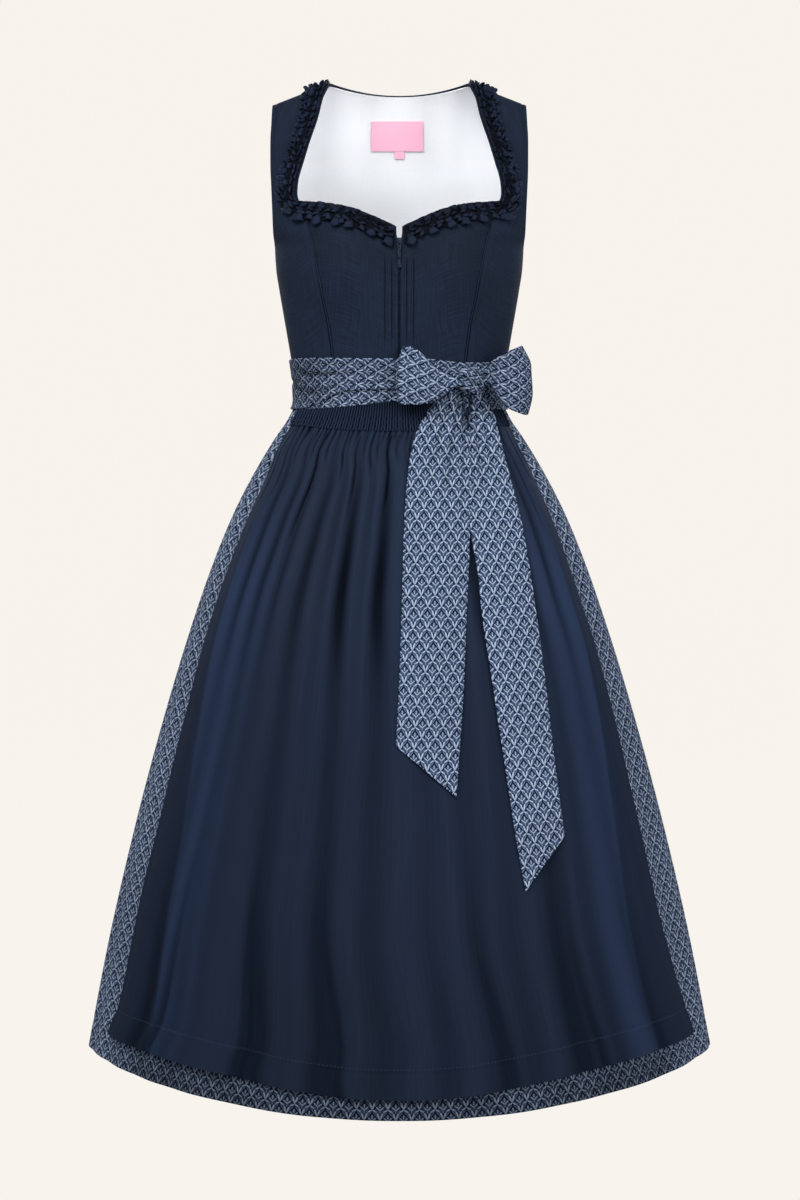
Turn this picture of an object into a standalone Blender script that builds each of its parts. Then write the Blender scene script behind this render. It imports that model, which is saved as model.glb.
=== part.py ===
"""Dirndl: sleeveless bodice, gathered midi skirt, apron tied in a bow at the front.

The garment keeps the hollow form it has when it is worn. Metres, +Z up, the front
faces -Y. The origin lies between the two shoulder tops, where a wearer holds it up.
Left and right in the names are the viewer's own: left is -X.

Every cloth piece is a thin wall lofted between two grids of points. The grids are read
from two closed forms, the bodice and the skirt. Each form is a ring for every "drop",
the distance below the shoulder line, and a point on a ring is named by its angle:
0 at the centre front, 90 at the +X side, 180 at the centre back.
"""
import math

import bmesh
import bpy
import numpy as np
from mathutils import Matrix, Vector

# Driving sizes
WAIST_DROP = 0.357
HEM_DROP = 1.087
HEM_DIP = 0.008            # extra length of the hem at the centre front
SEAM_GAP = 0.0003
BODICE_WALL = 0.0016
SKIRT_WALL = 0.0014
LINING_WALL = 0.0010

# Shoulders and bust
NECK_HALF = 0.0765         # half width of the neck at the shoulder line
BACK_NECK_DROP = 0.0096
BACK_NECK_DEPTH = 0.036
SHOULDER_SLOPE = 0.385
SHOULDER_FADE = 0.120      # drop at which the shoulder slope has died away
BUST_X = 0.070
BUST_DROP = 0.200
BUST_RISE = 0.014
BODICE_POWER_X = 0.91
BODICE_POWER_Y = 0.95

# Columns: drop, half width at the side edge, angle of that edge, depth front and back
BODICE_ROWS = (
    (0.0000, 0.1405, 62.0, 0.0004, 0.0004),
    (0.0008, 0.1405, 62.0, 0.0080, 0.0080),
    (0.0040, 0.1406, 62.0, 0.0165, 0.0165),
    (0.0120, 0.1408, 62.0, 0.0270, 0.0280),
    (0.0280, 0.1412, 62.0, 0.0380, 0.0430),
    (0.0550, 0.1421, 62.0, 0.0540, 0.0600),
    (0.0900, 0.1416, 62.0, 0.0770, 0.0760),
    (0.1250, 0.1402, 62.5, 0.0990, 0.0860),
    (0.1500, 0.1392, 66.0, 0.1130, 0.0915),
    (0.1700, 0.1387, 74.0, 0.1190, 0.0940),
    (0.1850, 0.1383, 90.0, 0.1212, 0.0955),
    (0.2060, 0.1372, 90.0, 0.1220, 0.0960),
    (0.2280, 0.1340, 90.0, 0.1190, 0.0955),
    (0.2510, 0.1301, 90.0, 0.1135, 0.0935),
    (0.2730, 0.1263, 90.0, 0.1075, 0.0910),
    (0.3050, 0.1210, 90.0, 0.0985, 0.0870),
    (0.3300, 0.1178, 90.0, 0.0925, 0.0835),
    (0.3570, 0.1165, 90.0, 0.0890, 0.0815),
)

# Columns: drop, half width, depth front and back, powers that shape the ring
SKIRT_ROWS = (
    (0.357, 0.1170, 0.0895, 0.0820, 0.910, 0.95),
    (0.372, 0.1245, 0.0975, 0.0930, 0.905, 0.97),
    (0.395, 0.1400, 0.1120, 0.1110, 0.900, 1.00),
    (0.430, 0.1605, 0.1310, 0.1320, 0.890, 1.06),
    (0.480, 0.1860, 0.1530, 0.1540, 0.880, 1.14),
    (0.540, 0.2108, 0.1740, 0.1740, 0.870, 1.22),
    (0.620, 0.2385, 0.1975, 0.1950, 0.860, 1.32),
    (0.720, 0.2690, 0.2215, 0.2160, 0.850, 1.42),
    (0.840, 0.3015, 0.2470, 0.2370, 0.840, 1.50),
    (0.960, 0.3300, 0.2690, 0.2540, 0.835, 1.56),
    (1.090, 0.3560, 0.2880, 0.2680, 0.833, 1.60),
)

# Neckline from the shoulder (along 0) to the zip (along 1), and the trim's lean across it:
# 0 degrees points away from the neck sideways, 90 points down.
# Columns: along, half width, drop, lean
NECKLINE_ROWS = (
    (0.000, 0.0765, 0.0000, 0.0),
    (0.073, 0.0800, 0.0067, 0.0),
    (0.106, 0.0842, 0.0155, -2.0),
    (0.182, 0.0885, 0.0340, -6.0),
    (0.310, 0.0985, 0.0655, -12.0),
    (0.400, 0.1050, 0.0887, -12.0),
    (0.491, 0.1108, 0.1125, -6.0),
    (0.536, 0.1116, 0.1243, 8.0),
    (0.573, 0.1086, 0.1333, 40.0),
    (0.610, 0.0990, 0.1347, 68.0),
    (0.682, 0.0840, 0.1362, 78.0),
    (0.774, 0.0617, 0.1399, 74.0),
    (0.828, 0.0484, 0.1433, 72.0),
    (0.894, 0.0308, 0.1499, 76.0),
    (0.949, 0.0176, 0.1556, 81.0),
    (1.000, 0.0046, 0.1615, 88.0),
)
NECK_CORNER = 0.573
TRIM_GAP = 0.0005
ZIP_EDGE_X = 0.0013
FRONT_STRAIGHT = (0.20, 0.45)  # shares across the panel: columns straight down, columns along the seam
FRONT_COLUMNS = 7
TUCK_X = (0.0078, 0.0153)
TUCK_HALF = 0.0009
TUCK_RISE = 0.0009
TUCK_START = (0.033, 0.044)    # below the neckline: clear of the trim, full height
TUCK_END = (0.270, 0.303)      # drops: full height, flat under the belt

# Seam from the neckline's corner to the waist. Columns: drop, half width
PRINCESS_ROWS = (
    (0.1333, 0.1086), (0.1610, 0.0990), (0.2000, 0.0905), (0.2406, 0.0834),
    (0.2730, 0.0771), (0.3044, 0.0735), (0.3570, 0.0690),
)

# Ruffled trim along the neckline
TRIM_WIDTH = 0.0235
TRIM_WAVES = 27
TRIM_WALL = 0.0012
TRIM_RISE = 0.0056
# Columns: share of the width, share of the rise
TRIM_SECTION = ((0.0, 0.55), (0.24, 1.0), (0.50, 0.06), (0.76, 1.0), (1.0, 0.55))

# Zip
TAPE_HALF = 0.012
TAPE_TOP, TAPE_BOTTOM = 0.166, 0.352
TAPE_WALL = 0.0008
SLIDER_TOP, SLIDER_BOTTOM = 0.1745, 0.1855
SLIDER_WIDTH = 0.0052
SLIDER_WALL = 0.0014
BAIL_RADIUS = 0.0015
BAIL_WIRE = 0.00045
PIVOT_DROP = 0.1795
PIVOT_STAND = 0.0014       # from the slider's face to the pull's axis
PULL_WALL = 0.0009
PULL_LENGTH = 0.0290
PULL_BAR = 0.00055         # half height of the bar that lies under the arch
PULL_SLOT = 0.0009         # half width of the slot, and where it ends below the axis
PULL_SLOT_END = 0.0026
PULL_EYE = 0.0023          # radius of both round ends
PULL_STEM = 0.0015         # half width between them
PULL_NECK = 0.0060         # where the stem begins below the axis
PULL_KNOB = 0.0048         # centre of the lower end above the tip
SLIDER_TAPER = 0.74

# Skirt: gathers as waves round each half
FRONT_WAVES, BACK_WAVES = 12, 16
# Columns: drop, height of the front's waves and of the back's
GATHER_ROWS = (
    (0.357, 0.0004, 0.0006), (0.395, 0.0010, 0.0028), (0.480, 0.0010, 0.0050),
    (0.700, 0.0010, 0.0065), (1.090, 0.0012, 0.0085),
)
SKIRT_DROPS = (0.0, 0.011, 0.026, 0.048, 0.085, 0.145, 0.235, 0.360, 0.530, 0.730)

# Apron: the two side edges. Columns: drop, angle at the left, angle at the right
APRON_EDGE_ROWS = (
    (0.357, -67.5, 70.0), (0.378, -65.0, 67.0), (0.400, -64.0, 63.0), (0.425, -60.0, 61.0),
    (0.450, -58.3, 59.5), (0.500, -58.7, 59.0), (0.560, -59.7, 59.0), (0.620, -60.0, 60.0),
    (0.700, -59.2, 59.5), (0.800, -59.2, 58.8), (0.900, -60.2, 58.9), (0.980, -60.2, 61.2),
    (1.015, -60.8, 63.0), (1.053, -64.2, 66.0),
)
APRON_WALL = 0.0012
APRON_HEM_DROP = 1.0560
APRON_HEM_DIP = 0.0170
# Columns: drop, distance of the apron's crests from the skirt
APRON_LIFT_ROWS = ((0.357, 0.0040), (0.385, 0.0048), (0.420, 0.0070), (0.470, 0.0085), (1.090, 0.0095))
# Folds, as troughs. Columns: place across at the top, middle and hem, depth at those, half width
APRON_FOLDS = (
    (0.115, 0.110, 0.095, 0.0022, 0.0030, 0.0040, 0.016),
    (0.185, 0.170, 0.165, 0.0024, 0.0028, 0.0030, 0.015),
    (0.240, 0.222, 0.205, 0.0020, 0.0024, 0.0020, 0.014),
    (0.300, 0.290, 0.320, 0.0026, 0.0034, 0.0058, 0.018),
    (0.345, 0.345, 0.365, 0.0018, 0.0016, 0.0020, 0.014),
    (0.385, 0.392, 0.416, 0.0030, 0.0050, 0.0056, 0.016),
    (0.432, 0.430, 0.445, 0.0016, 0.0014, 0.0018, 0.012),
    (0.470, 0.468, 0.480, 0.0030, 0.0050, 0.0036, 0.015),
    (0.520, 0.530, 0.538, 0.0024, 0.0030, 0.0034, 0.014),
    (0.590, 0.595, 0.600, 0.0026, 0.0034, 0.0036, 0.016),
    (0.655, 0.660, 0.645, 0.0026, 0.0028, 0.0032, 0.016),
    (0.730, 0.742, 0.722, 0.0026, 0.0050, 0.0054, 0.018),
    (0.805, 0.812, 0.790, 0.0024, 0.0030, 0.0036, 0.016),
    (0.880, 0.885, 0.880, 0.0022, 0.0028, 0.0036, 0.016),
)
APRON_COLUMNS = 69
APRON_SHARES = (0.0, 0.035, 0.08, 0.14, 0.23, 0.35, 0.50, 0.66, 0.83, 1.0)

# Smocked band at the apron's top
BAND_RIDGES = 64
BAND_RISE = 0.0014
BAND_WALL = 0.0010
BAND_LIFT = 0.0036
BAND_DROP = 0.3872         # lower edge at the centre front
BAND_CURVE = 0.0098        # how much higher that edge is at 50 degrees

# Belt: the apron's tie round the waist, a full turn and a second one over the front
BELT_TOP = 0.3040
BELT_BOTTOM = 0.3520
BELT_SIDE_BOTTOM = 0.3560
BELT_WALL = 0.0014
BELT_GAP = 0.0007
BELT_COLUMNS = 44

# Tails of the bow. Columns: drop, edge nearer -X, edge nearer +X
LEFT_TAIL_ROWS = (
    (0.338, 0.0610, 0.0738), (0.355, 0.0560, 0.0738), (0.368, 0.0370, 0.0738), (0.388, 0.0200, 0.0738),
    (0.414, 0.0114, 0.0739), (0.461, 0.0064, 0.0744), (0.508, 0.0048, 0.0752),
    (0.571, 0.0031, 0.0728), (0.645, 0.0001, 0.0684), (0.708, -0.0032, 0.0640),
    (0.762, -0.0050, 0.0601),
)
RIGHT_TAIL_ROWS = (
    (0.338, 0.0748, 0.0860), (0.355, 0.0748, 0.0945), (0.368, 0.0746, 0.1045), (0.391, 0.0746, 0.1103),
    (0.434, 0.0750, 0.1213), (0.479, 0.0766, 0.1324), (0.535, 0.0852, 0.1418),
    (0.572, 0.0885, 0.1470), (0.630, 0.0972, 0.1545), (0.736, 0.1132, 0.1669),
    (0.809, 0.1242, 0.1764), (0.861, 0.1336, 0.1830),
)
TAIL_WALL = 0.0016
TAIL_SHARES = (0.0, 0.04, 0.08, 0.13, 0.20, 0.28, 0.38, 0.50, 0.66, 0.83, 1.0)
# Columns: drop, distance of the tails' outer face from the skirt
TAIL_LIFT_ROWS = ((0.338, 0.0081), (0.370, 0.0086), (0.410, 0.0112), (0.450, 0.0122), (0.900, 0.0122))
LEFT_TAIL_END = (0.7083, 0.7612)
RIGHT_TAIL_END = (0.8611, 0.8090)
KNOT_CENTRE = (0.0784, -0.0907, -0.3295)
KNOT_SIZE = (0.036, 0.021, 0.041)
KNOT_TURN = 32.0

# Bow loops, station by station from the knot round the outer fold and back to the knot.
# Columns: x, y, top and bottom of the ribbon
LEFT_LOOP = (
    (0.0631, -0.1023, -0.3185, -0.3330), (0.0480, -0.1080, -0.3130, -0.3430),
    (0.0330, -0.1150, -0.3060, -0.3510), (0.0170, -0.1190, -0.2950, -0.3526),
    (0.0040, -0.1190, -0.2905, -0.3522), (-0.0016, -0.1140, -0.3000, -0.3480),
    (0.0040, -0.1090, -0.2915, -0.3510), (0.0180, -0.1075, -0.2960, -0.3510),
    (0.0340, -0.1050, -0.3070, -0.3490), (0.0480, -0.1010, -0.3140, -0.3430),
    (0.0619, -0.0974, -0.3200, -0.3340),
)
RIGHT_LOOP = (
    (0.0959, -0.0869, -0.3110, -0.3300), (0.1070, -0.0925, -0.3030, -0.3430),
    (0.1170, -0.0940, -0.2970, -0.3560), (0.1300, -0.0890, -0.2925, -0.3620),
    (0.1400, -0.0780, -0.3000, -0.3600), (0.1432, -0.0690, -0.3060, -0.3560),
    (0.1400, -0.0640, -0.3010, -0.3560), (0.1290, -0.0660, -0.2960, -0.3560),
    (0.1170, -0.0730, -0.3000, -0.3500), (0.1075, -0.0790, -0.3050, -0.3420),
    (0.0945, -0.0824, -0.3120, -0.3310),
)
LOOP_WALL = 0.0016

# Label and its size tab, on the lining. Columns: left, right, top drop, bottom drop
LABEL_BOX = (-0.0325, 0.0280, 0.0370, 0.0695)
TAB_BOX = (-0.0057, 0.0058, 0.0699, 0.0780)
LABEL_WALL = 0.0006
LABEL_GAP = 0.0013


def curve(places, values):
    """A smooth curve through the given values that never overshoots them."""
    places, values = np.array(places, float), np.array(values, float)
    steps = np.diff(places)
    slopes = np.diff(values) / steps
    tangents = np.zeros(len(places))
    tangents[0], tangents[-1] = slopes[0], slopes[-1]
    for i in range(1, len(places) - 1):
        if slopes[i - 1] * slopes[i] > 0:
            before = 2 * steps[i] + steps[i - 1]
            after = steps[i] + 2 * steps[i - 1]
            tangents[i] = (before + after) / (before / slopes[i - 1] + after / slopes[i])

    def read(place):
        place = np.clip(np.asarray(place, float), places[0], places[-1])
        i = np.clip(np.searchsorted(places, place, side="right") - 1, 0, len(places) - 2)
        t = (place - places[i]) / steps[i]
        start = values[i] * (1 + 2 * t) * (1 - t) ** 2 + steps[i] * tangents[i] * t * (1 - t) ** 2
        end = values[i + 1] * t * t * (3 - 2 * t) + steps[i] * tangents[i + 1] * t * t * (t - 1)
        return start + end
    return read


def curves(names, rows):
    """One curve of the first column for each of the other columns, by name."""
    columns = list(zip(*rows))
    return {name: curve(columns[0], column) for name, column in zip(names.split(), columns[1:])}


BODICE = curves("side edge front back", BODICE_ROWS)
SKIRT = curves("side front back power_x power_y", SKIRT_ROWS)
NECKLINE = curves("x drop lean", NECKLINE_ROWS)
PRINCESS = curves("x", PRINCESS_ROWS)
GATHERS = curves("front back", GATHER_ROWS)
APRON_EDGES = curves("left right", APRON_EDGE_ROWS)
APRON_LIFT = curves("lift", APRON_LIFT_ROWS)
TAIL_LIFT = curves("lift", TAIL_LIFT_ROWS)


# The two closed forms

def shoulder_height(x, drop):
    """Height of a bodice point: the shoulders slope down towards the arms."""
    fade = np.clip(1 - drop / SHOULDER_FADE, 0, 1) ** 1.5
    return -drop - SHOULDER_SLOPE * np.maximum(np.abs(x) - NECK_HALF, 0) * fade


def bodice_form(angle, drop):
    """Outer face of the bodice."""
    turn = np.radians(angle)
    sine, cosine = np.sin(turn), np.cos(turn)
    edge = np.sin(np.radians(BODICE["edge"](drop)))
    x = BODICE["side"](drop) * np.sign(sine) * (np.abs(sine) / edge) ** BODICE_POWER_X
    depth = np.abs(cosine) ** BODICE_POWER_Y
    bust = np.exp(-((np.abs(x) - BUST_X) / 0.036) ** 2 - ((drop - BUST_DROP) / 0.050) ** 2)
    front = -BODICE["front"](drop) * depth - BUST_RISE * bust * np.clip(3 * cosine, 0, 1)
    nape = np.clip(1 - (x / NECK_HALF) ** 2, 0, 1) ** 2 * np.exp(-np.maximum(drop - 0.006, 0) / 0.035)
    back = BODICE["back"](drop) * depth + BACK_NECK_DEPTH * nape
    return np.stack([x, np.where(cosine >= 0, front, back), shoulder_height(x, drop)], -1)


def bodice_angle(x, drop):
    """Angle at which the front of the bodice reaches the given x."""
    edge = np.sin(np.radians(BODICE["edge"](drop)))
    share = np.clip(np.abs(x) / BODICE["side"](drop), 0, 1) ** (1 / BODICE_POWER_X)
    return np.degrees(np.arcsin(np.clip(share * edge, 0, 1))) * np.sign(x)


def skirt_form(angle, drop):
    """Mean outer face of the skirt, without its gathers."""
    turn = np.radians(angle)
    sine, cosine = np.sin(turn), np.cos(turn)
    x = SKIRT["side"](drop) * np.sign(sine) * np.abs(sine) ** SKIRT["power_x"](drop)
    depth = np.where(cosine >= 0, -SKIRT["front"](drop), SKIRT["back"](drop))
    y = depth * np.abs(cosine) ** SKIRT["power_y"](drop)
    return np.stack([x, y, -np.asarray(drop) + 0 * x], -1)


def skirt_angle(x, drop):
    """Angle at which the front of the skirt reaches the given x."""
    share = np.clip(np.abs(x) / SKIRT["side"](drop), 0, 1) ** (1 / SKIRT["power_x"](drop))
    return np.degrees(np.arcsin(share)) * np.sign(x)


def seam_angle(depth, power):
    """Angle of a panel's edge at the side seam, half a seam gap before the middle."""
    return np.degrees(np.arccos((SEAM_GAP / 2 / depth) ** (1 / power)))


def bodice_reach(drop):
    """Angle at which a bodice panel ends: the armhole's edge or, below it, the side seam."""
    edge = BODICE["edge"](drop)
    seam = seam_angle(BODICE["back"](drop), BODICE_POWER_Y)
    return np.where(edge > 89.0, seam, edge)


# Grids and walls

def unit(vectors):
    return vectors / np.linalg.norm(vectors, axis=-1, keepdims=True)


def level(directions):
    """The same directions, laid flat, for what hangs from the edge of the waist."""
    return unit(directions * np.array([1.0, 1.0, 0.0]))


def on_form(form, angle, drop):
    """Points of a form and the outward directions there."""
    angle, drop = np.broadcast_arrays(angle, drop)
    around = form(angle + 0.2, drop) - form(angle - 0.2, drop)
    down = form(angle, drop + 0.0004) - form(angle, drop - 0.0004)
    return form(angle, drop), unit(np.cross(down, around))


def finish_mesh(name, form, material, smooth=True):
    """Turn a bmesh into a named object with its faces pointing out."""
    bmesh.ops.recalc_face_normals(form, faces=form.faces)
    mesh = bpy.data.meshes.new(name)
    form.to_mesh(mesh)
    form.free()
    if smooth:
        mesh.shade_smooth()
        mesh.set_sharp_from_angle(angle=math.radians(50))
    mesh.materials.append(material)
    thing = bpy.data.objects.new(name, mesh)
    PARTS.objects.link(thing)
    return thing


def wall(name, outer, inner, material, ring=False):
    """A closed cloth wall between an outer and an inner grid.

    The two grids have the same columns and may have different numbers of rows. A ring's last
    column joins its first one.
    """
    form = bmesh.new()
    outer_points = [[form.verts.new(point) for point in row] for row in outer]
    inner_points = [[form.verts.new(point) for point in row] for row in inner]
    columns = len(outer_points[0])
    for column in range(columns if ring else columns - 1):
        after = (column + 1) % columns
        for points in (outer_points, inner_points):
            for upper, lower in zip(points, points[1:]):
                form.faces.new((upper[column], upper[after], lower[after], lower[column]))
        for row in (0, -1):
            form.faces.new((outer_points[row][column], outer_points[row][after],
                            inner_points[row][after], inner_points[row][column]))
    if not ring:
        for column in (0, -1):
            outside = [row[column] for row in outer_points]
            inside = [row[column] for row in inner_points]
            if len(outside) == len(inside):
                for i in range(len(outside) - 1):
                    form.faces.new((outside[i], outside[i + 1], inside[i + 1], inside[i]))
            else:
                form.faces.new(outside + inside[::-1])
    return finish_mesh(name, form, material)


def cloth(name, points, directions, thickness, material, lift=0.0, ring=False):
    """A wall of even thickness whose outer face is the points, moved out by the lift."""
    lift = np.asarray(lift)
    outer = points + directions * (lift[..., None] if lift.ndim else lift)
    return wall(name, outer, outer - directions * thickness, material, ring)


def material(name, colour, roughness, metallic=0.0, sheen=0.0):
    finish = bpy.data.materials.new(name)
    finish.use_nodes = True
    shader = finish.node_tree.nodes["Principled BSDF"]
    shader.inputs["Base Color"].default_value = (*colour, 1.0)
    shader.inputs["Roughness"].default_value = roughness
    shader.inputs["Metallic"].default_value = metallic
    shader.inputs["Sheen Weight"].default_value = sheen
    return finish


# Bodice

SIDE_COLUMNS = 7
# Shares of the way from the centre back to the side seam; the neck's corner is one of them
BACK_SHARES = (0.0, 0.15, 0.30, 0.434, 0.62, 0.81, 1.0)
NECK_SHARE = 0.434
BODICE_DROPS = np.array([0.0, 0.0008, 0.004, 0.012, 0.028, 0.055, 0.085, 0.112, 0.1333, 0.150,
                         0.170, 0.185, 0.206, 0.232, 0.265, 0.305, 0.330, WAIST_DROP - SEAM_GAP / 2])
CORNER_ROW = 8             # the row at the neckline's corner


def meet_at_shoulder(directions):
    """Keep the topmost directions in the plane of the shoulder seam, so that the walls meet squarely."""
    directions = directions.copy()
    directions[0, :, 1] = 0
    return unit(directions)


def neckline_drop(x):
    """Drop of the low stretch of the neckline, from its corner to the zip."""
    along = np.linspace(NECK_CORNER, 1.0, 60)
    return np.interp(x, NECKLINE["x"](along)[::-1], NECKLINE["drop"](along)[::-1])


def strap_x(drop):
    """Half width at the neck edge of the strap and, below the corner, at the princess seam."""
    along = np.linspace(0.0, NECK_CORNER, 60)
    on_strap = np.interp(drop, NECKLINE["drop"](along), NECKLINE["x"](along))
    return np.where(drop < PRINCESS_ROWS[0][0], on_strap, PRINCESS["x"](drop) + SEAM_GAP)


def front_shares():
    """Places across a centre front panel, close together at each stitched tuck."""
    panel = PRINCESS_ROWS[-1][1] - ZIP_EDGE_X
    places = [0.0]
    for tuck in TUCK_X:
        for x in (tuck - TUCK_HALF, tuck, tuck + TUCK_HALF / 2):
            places.append((x - ZIP_EDGE_X) / panel)
    return np.array(places + list(np.linspace(places[-1], 1.0, FRONT_COLUMNS)[1:]))


def build_bodice_front(side, name, finish):
    """Centre front panel. Near the zip its columns run straight down, as the tucks do."""
    shares = front_shares()
    waist_width = PRINCESS_ROWS[-1][1] - ZIP_EDGE_X
    lowest = BODICE_DROPS[-1]
    downs = (BODICE_DROPS[CORNER_ROW:] - BODICE_DROPS[CORNER_ROW]) / (lowest - BODICE_DROPS[CORNER_ROW])
    straight = np.interp(shares, FRONT_STRAIGHT, (1, 0))

    def x_at(drop):
        leaning = (PRINCESS["x"](drop) - ZIP_EDGE_X) * shares
        return ZIP_EDGE_X + straight * waist_width * shares + (1 - straight) * leaning

    top = np.full(len(shares), 0.15)
    for _ in range(6):
        top = neckline_drop(x_at(top))
    drops = top + (lowest - top) * downs[:, None]
    points, directions = on_form(bodice_form, bodice_angle(side * x_at(drops), drops), drops)
    crests = [(x - ZIP_EDGE_X) / waist_width for x in TUCK_X]
    tuck = np.array([float(np.min(np.abs(share - crests)) < 1e-9) for share in shares])
    bare = np.interp(drops - top, TUCK_START, (0, 1)) * np.interp(drops, TUCK_END, (1, 0))
    raised = (TUCK_RISE * tuck * bare)[..., None]
    return wall(name, points + directions * raised, points - directions * BODICE_WALL, finish)


def build_bodice_side(side, name, finish):
    """Side front, cut in one with the strap over the shoulder."""
    drops = BODICE_DROPS[:, None]
    start = bodice_angle(strap_x(drops), drops)
    shares = np.linspace(0, 1, SIDE_COLUMNS)
    angles = start + (bodice_reach(drops) - start) * shares
    points, directions = on_form(bodice_form, side * angles, drops)
    return cloth(name, points, meet_at_shoulder(directions), BODICE_WALL, finish)


def back_surface():
    """Points and directions of the back, from the +X side seam round to the -X one."""
    shares = np.array([-share for share in BACK_SHARES[:0:-1]] + list(BACK_SHARES))
    x_top = np.interp(np.abs(shares), (0, NECK_SHARE, 1), (0, NECK_HALF, BODICE["side"](0)))
    top = BACK_NECK_DROP * np.clip(1 - (x_top / NECK_HALF) ** 2, 0, 1)
    lowest = BODICE_DROPS[-1]
    drops = top + BODICE_DROPS[:, None] * (lowest - top) / lowest
    points, directions = on_form(bodice_form, 180 + bodice_reach(drops) * shares, drops)
    return points, meet_at_shoulder(directions)


def build_back(finish):
    return cloth("bodice_back", *back_surface(), BODICE_WALL, finish)


def build_lining(finish):
    """White lining of the back, which shows inside the neck, a little short of the edge."""
    points, directions = back_surface()
    return cloth("lining_back", points[1:], directions[1:], LINING_WALL, finish,
                 lift=-(BODICE_WALL + SEAM_GAP))


# Neckline trim

def trim_surface(side, columns, rows):
    """Points and directions on the bodice under the trim: columns along it, rows across it."""
    fine = np.linspace(0, 1, 600)
    spine_x, spine_drop = NECKLINE["x"](fine), NECKLINE["drop"](fine)
    spine = bodice_form(bodice_angle(spine_x, spine_drop), spine_drop)
    lengths = np.concatenate([[0], np.cumsum(np.linalg.norm(np.diff(spine, axis=0), axis=1))])
    along = np.interp(np.linspace(0, lengths[-1], columns), lengths, fine)
    lean = np.radians(NECKLINE["lean"](along))
    across = np.array(rows)[:, None] * TRIM_WIDTH
    x = NECKLINE["x"](along) + across * np.cos(lean)
    drop = np.maximum(NECKLINE["drop"](along) + across * np.sin(lean), 0.0)
    return on_form(bodice_form, side * bodice_angle(x, drop), drop)


def build_trim(side, name, finish):
    """Box-pleated ruffle: two rows of lobes, stitched down along the middle."""
    columns = 3 * TRIM_WAVES + 1
    rows, lobes = zip(*TRIM_SECTION)
    points, directions = trim_surface(side, columns, rows)
    base_points, base_directions = trim_surface(side, columns, (0.0, 0.5, 1.0))
    wave = np.sin(np.pi * np.arange(columns) / 3) ** 2
    rise = TRIM_GAP + TRIM_WALL + TRIM_RISE * np.array(lobes)[:, None] * wave
    return wall(name, points + meet_sideways(directions) * rise[..., None],
                base_points + meet_sideways(base_directions) * TRIM_GAP, finish)


def meet_sideways(directions):
    """Turn the trim's first directions so that its end stays in front of the shoulder seam."""
    directions = directions.copy()
    directions[:, 0, 1] = 0
    return unit(directions)


# Zip

def front_face_y(drop):
    """Depth of the centre front's outer face."""
    return float(bodice_form(np.array(0.0), np.array(drop))[1])


def build_zip_tape(finish):
    drops = np.linspace(TAPE_TOP, TAPE_BOTTOM, 9)[:, None]
    x = np.linspace(-TAPE_HALF, TAPE_HALF, 5)
    points, directions = on_form(bodice_form, bodice_angle(x, drops), drops)
    return cloth("zip_tape", points, directions, TAPE_WALL, finish, lift=-(BODICE_WALL + 2 * SEAM_GAP))


def mesh_of_curve(shape):
    """The welded closed mesh of a curve object, which it removes."""
    guide = bpy.data.objects.new("guide", shape)
    CUTTERS.objects.link(guide)
    bpy.context.view_layer.update()
    seen = guide.evaluated_get(bpy.context.evaluated_depsgraph_get())
    mesh = bpy.data.meshes.new_from_object(seen)
    bpy.data.objects.remove(guide)
    form = bmesh.new()
    form.from_mesh(mesh)
    bmesh.ops.remove_doubles(form, verts=form.verts, dist=1e-6)
    return form


def add_spline(shape, places, cyclic=False):
    spline = shape.splines.new("POLY")
    spline.points.add(len(places) - 1)
    for point, place in zip(spline.points, places):
        point.co = (*place, 1)
    spline.use_cyclic_u = cyclic


def arc(centre, radius, start, end, steps):
    angles = [math.radians(start + (end - start) * i / steps) for i in range(steps + 1)]
    return [(centre[0] + radius * math.cos(a), centre[1] + radius * math.sin(a)) for a in angles]


def pivot_point():
    face = min(front_face_y(SLIDER_TOP), front_face_y(SLIDER_BOTTOM))
    return Vector((0, face - SEAM_GAP - SLIDER_WALL - PIVOT_STAND, -PIVOT_DROP))


def build_bail():
    """The small arch that the pull hangs from, as a guide for the slider's union."""
    pivot = pivot_point()
    foot = PIVOT_STAND + SLIDER_WALL / 2
    path = [(0, pivot.y + foot, pivot.z + BAIL_RADIUS)]
    path += [(0, pivot.y - y, pivot.z + z) for y, z in arc((0, 0), BAIL_RADIUS, 90, -90, 10)]
    path += [(0, pivot.y + foot, pivot.z - BAIL_RADIUS)]
    wire = bpy.data.curves.new("bail", "CURVE")
    wire.dimensions = "3D"
    wire.bevel_depth = BAIL_WIRE
    wire.bevel_resolution = 2
    wire.use_fill_caps = True
    add_spline(wire, path)
    form = mesh_of_curve(wire)
    mesh = bpy.data.meshes.new("bail")
    form.to_mesh(mesh)
    form.free()
    bail = bpy.data.objects.new("bail", mesh)
    bail.hide_render = True
    bail.display_type = "WIRE"
    CUTTERS.objects.link(bail)
    return bail


def build_slider(finish):
    """Slider plate with the arch for the pull, in one piece."""
    plate_y = pivot_point().y + PIVOT_STAND + SLIDER_WALL / 2
    bpy.ops.mesh.primitive_cube_add(size=1, location=(0, plate_y, -(SLIDER_TOP + SLIDER_BOTTOM) / 2))
    plate = bpy.context.object
    plate.name = "zip_slider"
    plate.scale = (SLIDER_WIDTH, SLIDER_WALL, SLIDER_BOTTOM - SLIDER_TOP)
    bpy.ops.object.transform_apply(location=False, rotation=False, scale=True)
    for vertex in plate.data.vertices:
        if vertex.co.z < 0:
            vertex.co.x *= SLIDER_TAPER
    bevel = plate.modifiers.new("rounded edges", "BEVEL")
    bevel.width = 0.0004
    bevel.segments = 2
    join = plate.modifiers.new("bail", "BOOLEAN")
    join.operation = "UNION"
    join.object = build_bail()
    for collection in list(plate.users_collection):
        collection.objects.unlink(plate)
    PARTS.objects.link(plate)
    plate.data.materials.append(finish)
    return plate


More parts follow.
